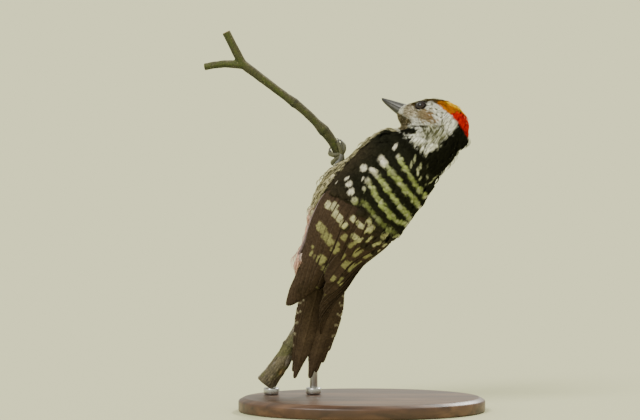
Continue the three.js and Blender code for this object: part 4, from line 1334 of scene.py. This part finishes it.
def flight_tints(number, side, points, part, share, drawn):
    outer = -share * side
    inner_share = blend_step(-0.2, 0.9, -outer)
    base = mix_colour(flight_browns["outer web"], flight_browns["inner web"], inner_share)
    base = mix_colour(base, flight_browns["worn edge"], blend_step(0.92, 1.0, np.abs(share)) * 0.5)
    # The outermost primary's outer web carries a pale lilac painted sheen.
    if number == outermost_primary:
        base = mix_colour(base, flight_browns["painted lilac sheen"], blend_step(-0.6, 0.3, outer) * 0.85)
    uneven = np.repeat(drawn.uniform(-0.5, 0.5, part.shape[0]), part.shape[1])
    pale = wing_marks(points.reshape(-1, 3), side, uneven * 0.3).reshape(part.shape)
    spotted = blend_step(0.05, 0.16, outer) + blend_step(-0.10, -0.2, outer) * (number < tertials)
    pale = pale * spotted * blend_step(1.0, 0.94, np.abs(share)) * drawn.uniform(0.8, 1.0)
    spot = mix_colour(*spot_buffs, blend_step(-16, -8, points[..., 2]))
    base = mix_colour(base, spot * drawn.uniform(0.85, 1.1), pale)
    return mix_colour(base, flight_browns["shaft"], blend_step(0.07, 0.03, np.abs(share)) * 0.6)


for word, side in both_sides.items():
    blades = []
    for number, feather in enumerate(flight_feathers):
        root_height, root_angle, high, low, tip_height, tip_angle, half = feather
        drawn = np.random.default_rng(300 + number + 50 * side)
        parts = np.linspace(0, 1, 100)
        heights = root_height + (tip_height - root_height) * parts
        angles = through_points([(root_angle,), (high,), (low,), (tip_angle,)], parts)[:, 0]
        top = top_lift - lift_step * number - (0 if side > 0 else right_sunk)
        emerged = blend_step(4, -6, heights)
        lift = root_lift + (top - root_lift) * emerged - tip_sunk * blend_step(32, 60, -heights)
        line_here = on_coat(side, heights, angles, lift)
        ups = on_coat(side, heights, angles, lift + 1) - line_here
        shape = rounded if number < first_primary else pointed
        widths = np.tile(np.interp(parts, shape[:, 0], shape[:, 1])[:, None] * half, 2)
        outer_web = 0 if side > 0 else 1
        widths[:, outer_web] *= 0.9 if number < tertials else 0.72 if number < first_primary else 0.5
        blade = feather_blade(line_here, ups, widths, drawn, tilt=-0.35 * side, camber=0.25, shaft=0.2)
        blades.append((*blade, flight_tints(number, side, *blade, drawn)))
    wing = join_blades("flight_feathers_" + word, blades, thickness=0.12)
    covered = (f"wing_{word}_secondaries", f"wing_{word}_primaries")
    finish_piece(wing, "flight_feathers_" + word, flight_finish, "wing_feathers", *covered)

# --- The tail ---------------------------------------------------------------------------------------
# Ten stiff tail feathers, drawn out to worn points, that prop a climbing bird. The middle pair lies
# on top, each has a strong shaft, and the outer pairs have pale notches along their edges.
tail_place = np.array((-6.5, 4.6, -30))
tail_axes = np.array(
    Matrix.Rotation(math.radians(-11), 3, "Z")
    @ Matrix.Rotation(math.radians(1.3), 3, "X")
    @ Matrix.Rotation(math.radians(30), 3, "Y")
)
# Down a tail feather: share of its length, and width of its outer and its inner web.
tail_webs = np.array([
    (0, 0.6, 0.9), (0.06, 0.8, 1.1), (0.25, 1, 1.28), (0.62, 1, 1.3), (0.78, 0.78, 1.12),
    (0.88, 0.52, 0.64), (0.95, 0.34, 0.36), (0.985, 0.24, 0.24), (1, 0.10, 0.10),
])
tail_browns = {
    "vane": (0.082, 0.056, 0.036), "edge": (0.064, 0.044, 0.029),
    "growth bar": (0.094, 0.065, 0.042), "shaft": (0.095, 0.066, 0.041), "notch": (0.36, 0.32, 0.22),
}
first_notched_pair = 2
tail_finish = feather_finish("tail feathers", count=170.0, slant=0.2, depth=0.00005, roughness=0.6)


def tail_tints(pair, side, part, share, drawn):
    base = mix_colour(tail_browns["vane"], tail_browns["edge"], blend_step(0.2, 0.95, np.abs(share)))
    growth = 0.5 * np.abs(np.sin(part * 23 + drawn.random() * 6)) ** 6
    base = mix_colour(base, tail_browns["growth bar"], growth)
    if pair >= first_notched_pair:
        notch = np.abs(np.mod(part * 9 + 0.2 * pair, 1) - 0.5) * 2
        at_edge = blend_step(0.62 - 0.05 * pair, 0.95, -share * side)
        along_web = blend_step(0.12, 0.2, part) * blend_step(0.95, 0.8, part)
        notched = blend_step(0.72, 0.86, notch) * at_edge * along_web * 0.75
        base = mix_colour(base, tail_browns["notch"], notched)
    return mix_colour(base, tail_browns["shaft"], blend_step(0.085, 0.03, np.abs(share)) * 0.75)


for word, side in both_sides.items():
    for pair in range(5):
        drawn = np.random.default_rng(500 + pair + 50 * side)
        parts = np.linspace(0, 1, 110)
        length = 62.6 + 0.4 * side - 3.2 * pair**1.35
        fan = math.radians(-side * (pair * 0.8 - 0.4 if side > 0 else pair * 2.7))
        down = -length * parts
        aside = down * math.sin(fan) + side * (4.35 + 0.3 * pair)
        layer = (2.5 - pair) * 0.9 - 0.3 + 0.18 * np.sin(parts * math.pi) - (0.35 if side < 0 else 0)
        line_here = np.column_stack([aside, layer, down * math.cos(fan)]) @ tail_axes.T + tail_place
        ups = np.tile(tail_axes[:, 1], (len(parts), 1))
        outer_web, inner_web = (np.interp(parts, tail_webs[:, 0], tail_webs[:, k]) for k in (1, 2))
        webs = [outer_web, inner_web] if side > 0 else [inner_web, outer_web]
        widths = np.column_stack(webs) * (4.2 if pair else 4.1)
        blade = feather_blade(line_here, ups, widths, drawn, tilt=0, camber=0.35, shaft=0.34)
        tints = tail_tints(pair, side, *blade[1:], drawn)
        title = f"rectrix_{word}_{pair + 1}"
        piece = join_blades(title, [(*blade, tints)], thickness=0.16)
        finish_piece(piece, title, tail_finish, "tail_feathers", f"tail_feather_{word}_{pair + 1}")

# --- The legs and claws -----------------------------------------------------------------------------
# Two toes point up the stem and two down, each ringed with small horny scales and ending in a
# hooked claw. The scaled shank rises from the grip into the belly feathers.
stem_radii = [5.1, 4.4, 3.7, 3.3, 3.0, 2.9, 2.7, 2.2, 2.1, 2.4]
scar_sizes = [0.2, 0.14, 0.3, 0.18]
stem_places = np.linspace(0, 1, 2001)
stem_line = through_points(stem_course, stem_places)
stem_length = np.linalg.norm(np.diff(stem_line, axis=0), axis=1).sum()
# Each leg's grip, as a share of the stem, then its ankle and knee in the bird's frame.
leg_plans = {
    "left": (0.669, (4.6, -24, -3.4), (9, -13, -9)),
    "right": (0.525, (-10, -20, -26), (-10, -7, -22)),
}
# Each toe's end: angle round the stem, and way up the stem.
toe_plans = [(72, 4.5), (16, 6.0), (-128, 1.8), (-112, -4.0)]
# Down a claw: share of its reach, height over the bark, and radius.
claw_plan = [(-0.08, 0.75, 0.55), (0.15, 1.05, 0.62), (0.45, 1.25, 0.5), (0.8, 0.85, 0.28), (1, 0.1, 0.05)]
toe_radius, shank_radius, claw_length, bark_gap = 0.95, 1.25, 3.4, 0.3
# Each runs from one tone at the start of a limb to another at its end.
shank_greys = ((0.17, 0.17, 0.16), (0.22, 0.23, 0.25))
toe_olives = ((0.115, 0.112, 0.060), (0.080, 0.078, 0.042))
claw_greys = ((0.10, 0.095, 0.08), (0.035, 0.033, 0.03))


def stem_at(place):
    return np.array([np.interp(place, stem_places, stem_line[:, axis]) for axis in range(3)])


def stem_radius(place):
    scars = zip(leaf_scars, scar_sizes)
    swell = 1 + sum(size * math.exp(-(((place - at) / 0.012) ** 2)) for at, size in scars)
    return np.interp(place * 9, np.arange(10), stem_radii) * swell


def beside_stem(hold, angle, up, above):
    """A place above the bark, an angle round the stem and a way up it from a foot's hold."""
    grip, along, outward, side = hold
    place = grip + up / stem_length
    turned = Matrix.Rotation(math.radians(side * angle), 3, Vector(along)) @ Vector(outward)
    return stem_at(place) + np.array(turned) * (stem_radius(place) + bark_gap + above)


def limb_rings(rows, steps, around, scales, depth):
    """A round limb through rows of x, y, z, radius in millimetres, ringed with raised scales."""
    rows = np.asarray(rows, float)
    places = np.linspace(0, 1, steps + 1)
    line_here = through_points(rows[:, :3], places)
    radii = np.interp(places * (len(rows) - 1), np.arange(len(rows)), rows[:, 3])
    along = unit(np.gradient(line_here, axis=0))
    across = np.cross(along[0], (0.3, 0.9, 0.2))
    angles = np.linspace(0, 2 * math.pi, around, endpoint=False)
    rings = []
    for number in range(steps + 1):
        across = across - along[number] * (across @ along[number])
        across = across / np.linalg.norm(across)
        rise = np.cross(along[number], across)
        saw = np.mod(places[number] * scales + 0.12 * np.sin(angles * 3), 1)
        swell = radii[number] + depth * (1 - saw) * (0.5 + 0.5 * np.cos(angles * 2))
        ring = line_here[number] + np.outer(np.cos(angles) * swell, across)
        rings.append(ring + np.outer(np.sin(angles) * swell, rise))
    return np.array(rings) * mm, np.repeat(places, around)


leg_finish, tree, shader = new_finish("scaled leg skin", 0.55, Specular_IOR_Level=0.4)
scales = pattern(tree, "ShaderNodeTexVoronoi", {"feature": "DISTANCE_TO_EDGE"}, Scale=1500.0)
from_edge = scales.outputs["Distance"]
leg_tone = tinted(tree, grey_ramp(tree, from_edge, (0.0, 0.45), (0.12, 1.1)))
tree.links.new(leg_tone, shader.inputs["Base Color"])
add_relief(tree, shader, from_edge, 0.7, 0.0001)

for word, (grip, ankle, knee) in leg_plans.items():
    along = unit((stem_at(grip + 0.005) - stem_at(grip - 0.005))[None])[0]
    outward = body_axes[:, 1] - along * (body_axes[:, 1] @ along)
    outward = outward / np.linalg.norm(outward)
    hold = (grip, along, outward, both_sides[word])
    palm = stem_at(grip) + outward * (stem_radius(grip) + bark_gap + shank_radius)
    ankle, knee = from_body([ankle, knee]) / mm
    shank = (palm + ankle) / 2 + outward * 0.6
    shank_rows = [(*palm, 1.45), (*shank, 1.2), (*ankle, 1.7), (*knee, 2.6)]
    rings, places = limb_rings(shank_rows, steps=90, around=28, scales=26, depth=0.14)
    limbs = [(rings, mix_colour(*shank_greys, places))]
    claws = []
    for angle, up in toe_plans:
        toe_rows = []
        for part in (0, 0.35, 0.7, 1):
            above = toe_radius + 0.35 * math.sin(math.pi * part) + 0.3 * (1 - part)
            knuckle = 1.14 if part in (0.35, 0.7) else 1.0
            toe_place = beside_stem(hold, angle * part, up * part, above)
            toe_rows.append((*toe_place, toe_radius * (1.1 - 0.2 * part) * knuckle))
        rings, places = limb_rings(toe_rows, steps=48, around=20, scales=12, depth=0.12)
        limbs.append((rings, mix_colour(*toe_olives, places)))
        claw_angle = math.copysign(math.degrees(claw_length / stem_radius(grip)) * 0.45, angle)
        claw_up = math.copysign(claw_length * 0.5, up)
        claw_rows = [
            (*beside_stem(hold, angle + claw_angle * part, up + claw_up * part, above), thick)
            for part, above, thick in claw_plan
        ]
        rings, places = limb_rings(claw_rows, steps=24, around=16, scales=1, depth=0.0)
        claws.append((rings, mix_colour(*claw_greys, places)))
    for title, grown, finish, slot, replaced in (
        (f"leg_skin_{word}", limbs, leg_finish, "leg_skin", [f"leg_{word}"]),
        (f"claws_{word}", claws, horn_finish, "bill_horn", []),
    ):
        made = [skin_rings(title, rings, tints) for rings, tints in grown]
        select_only(*made)
        bpy.ops.object.join()
        finish_piece(made[0], title, finish, slot, *replaced)
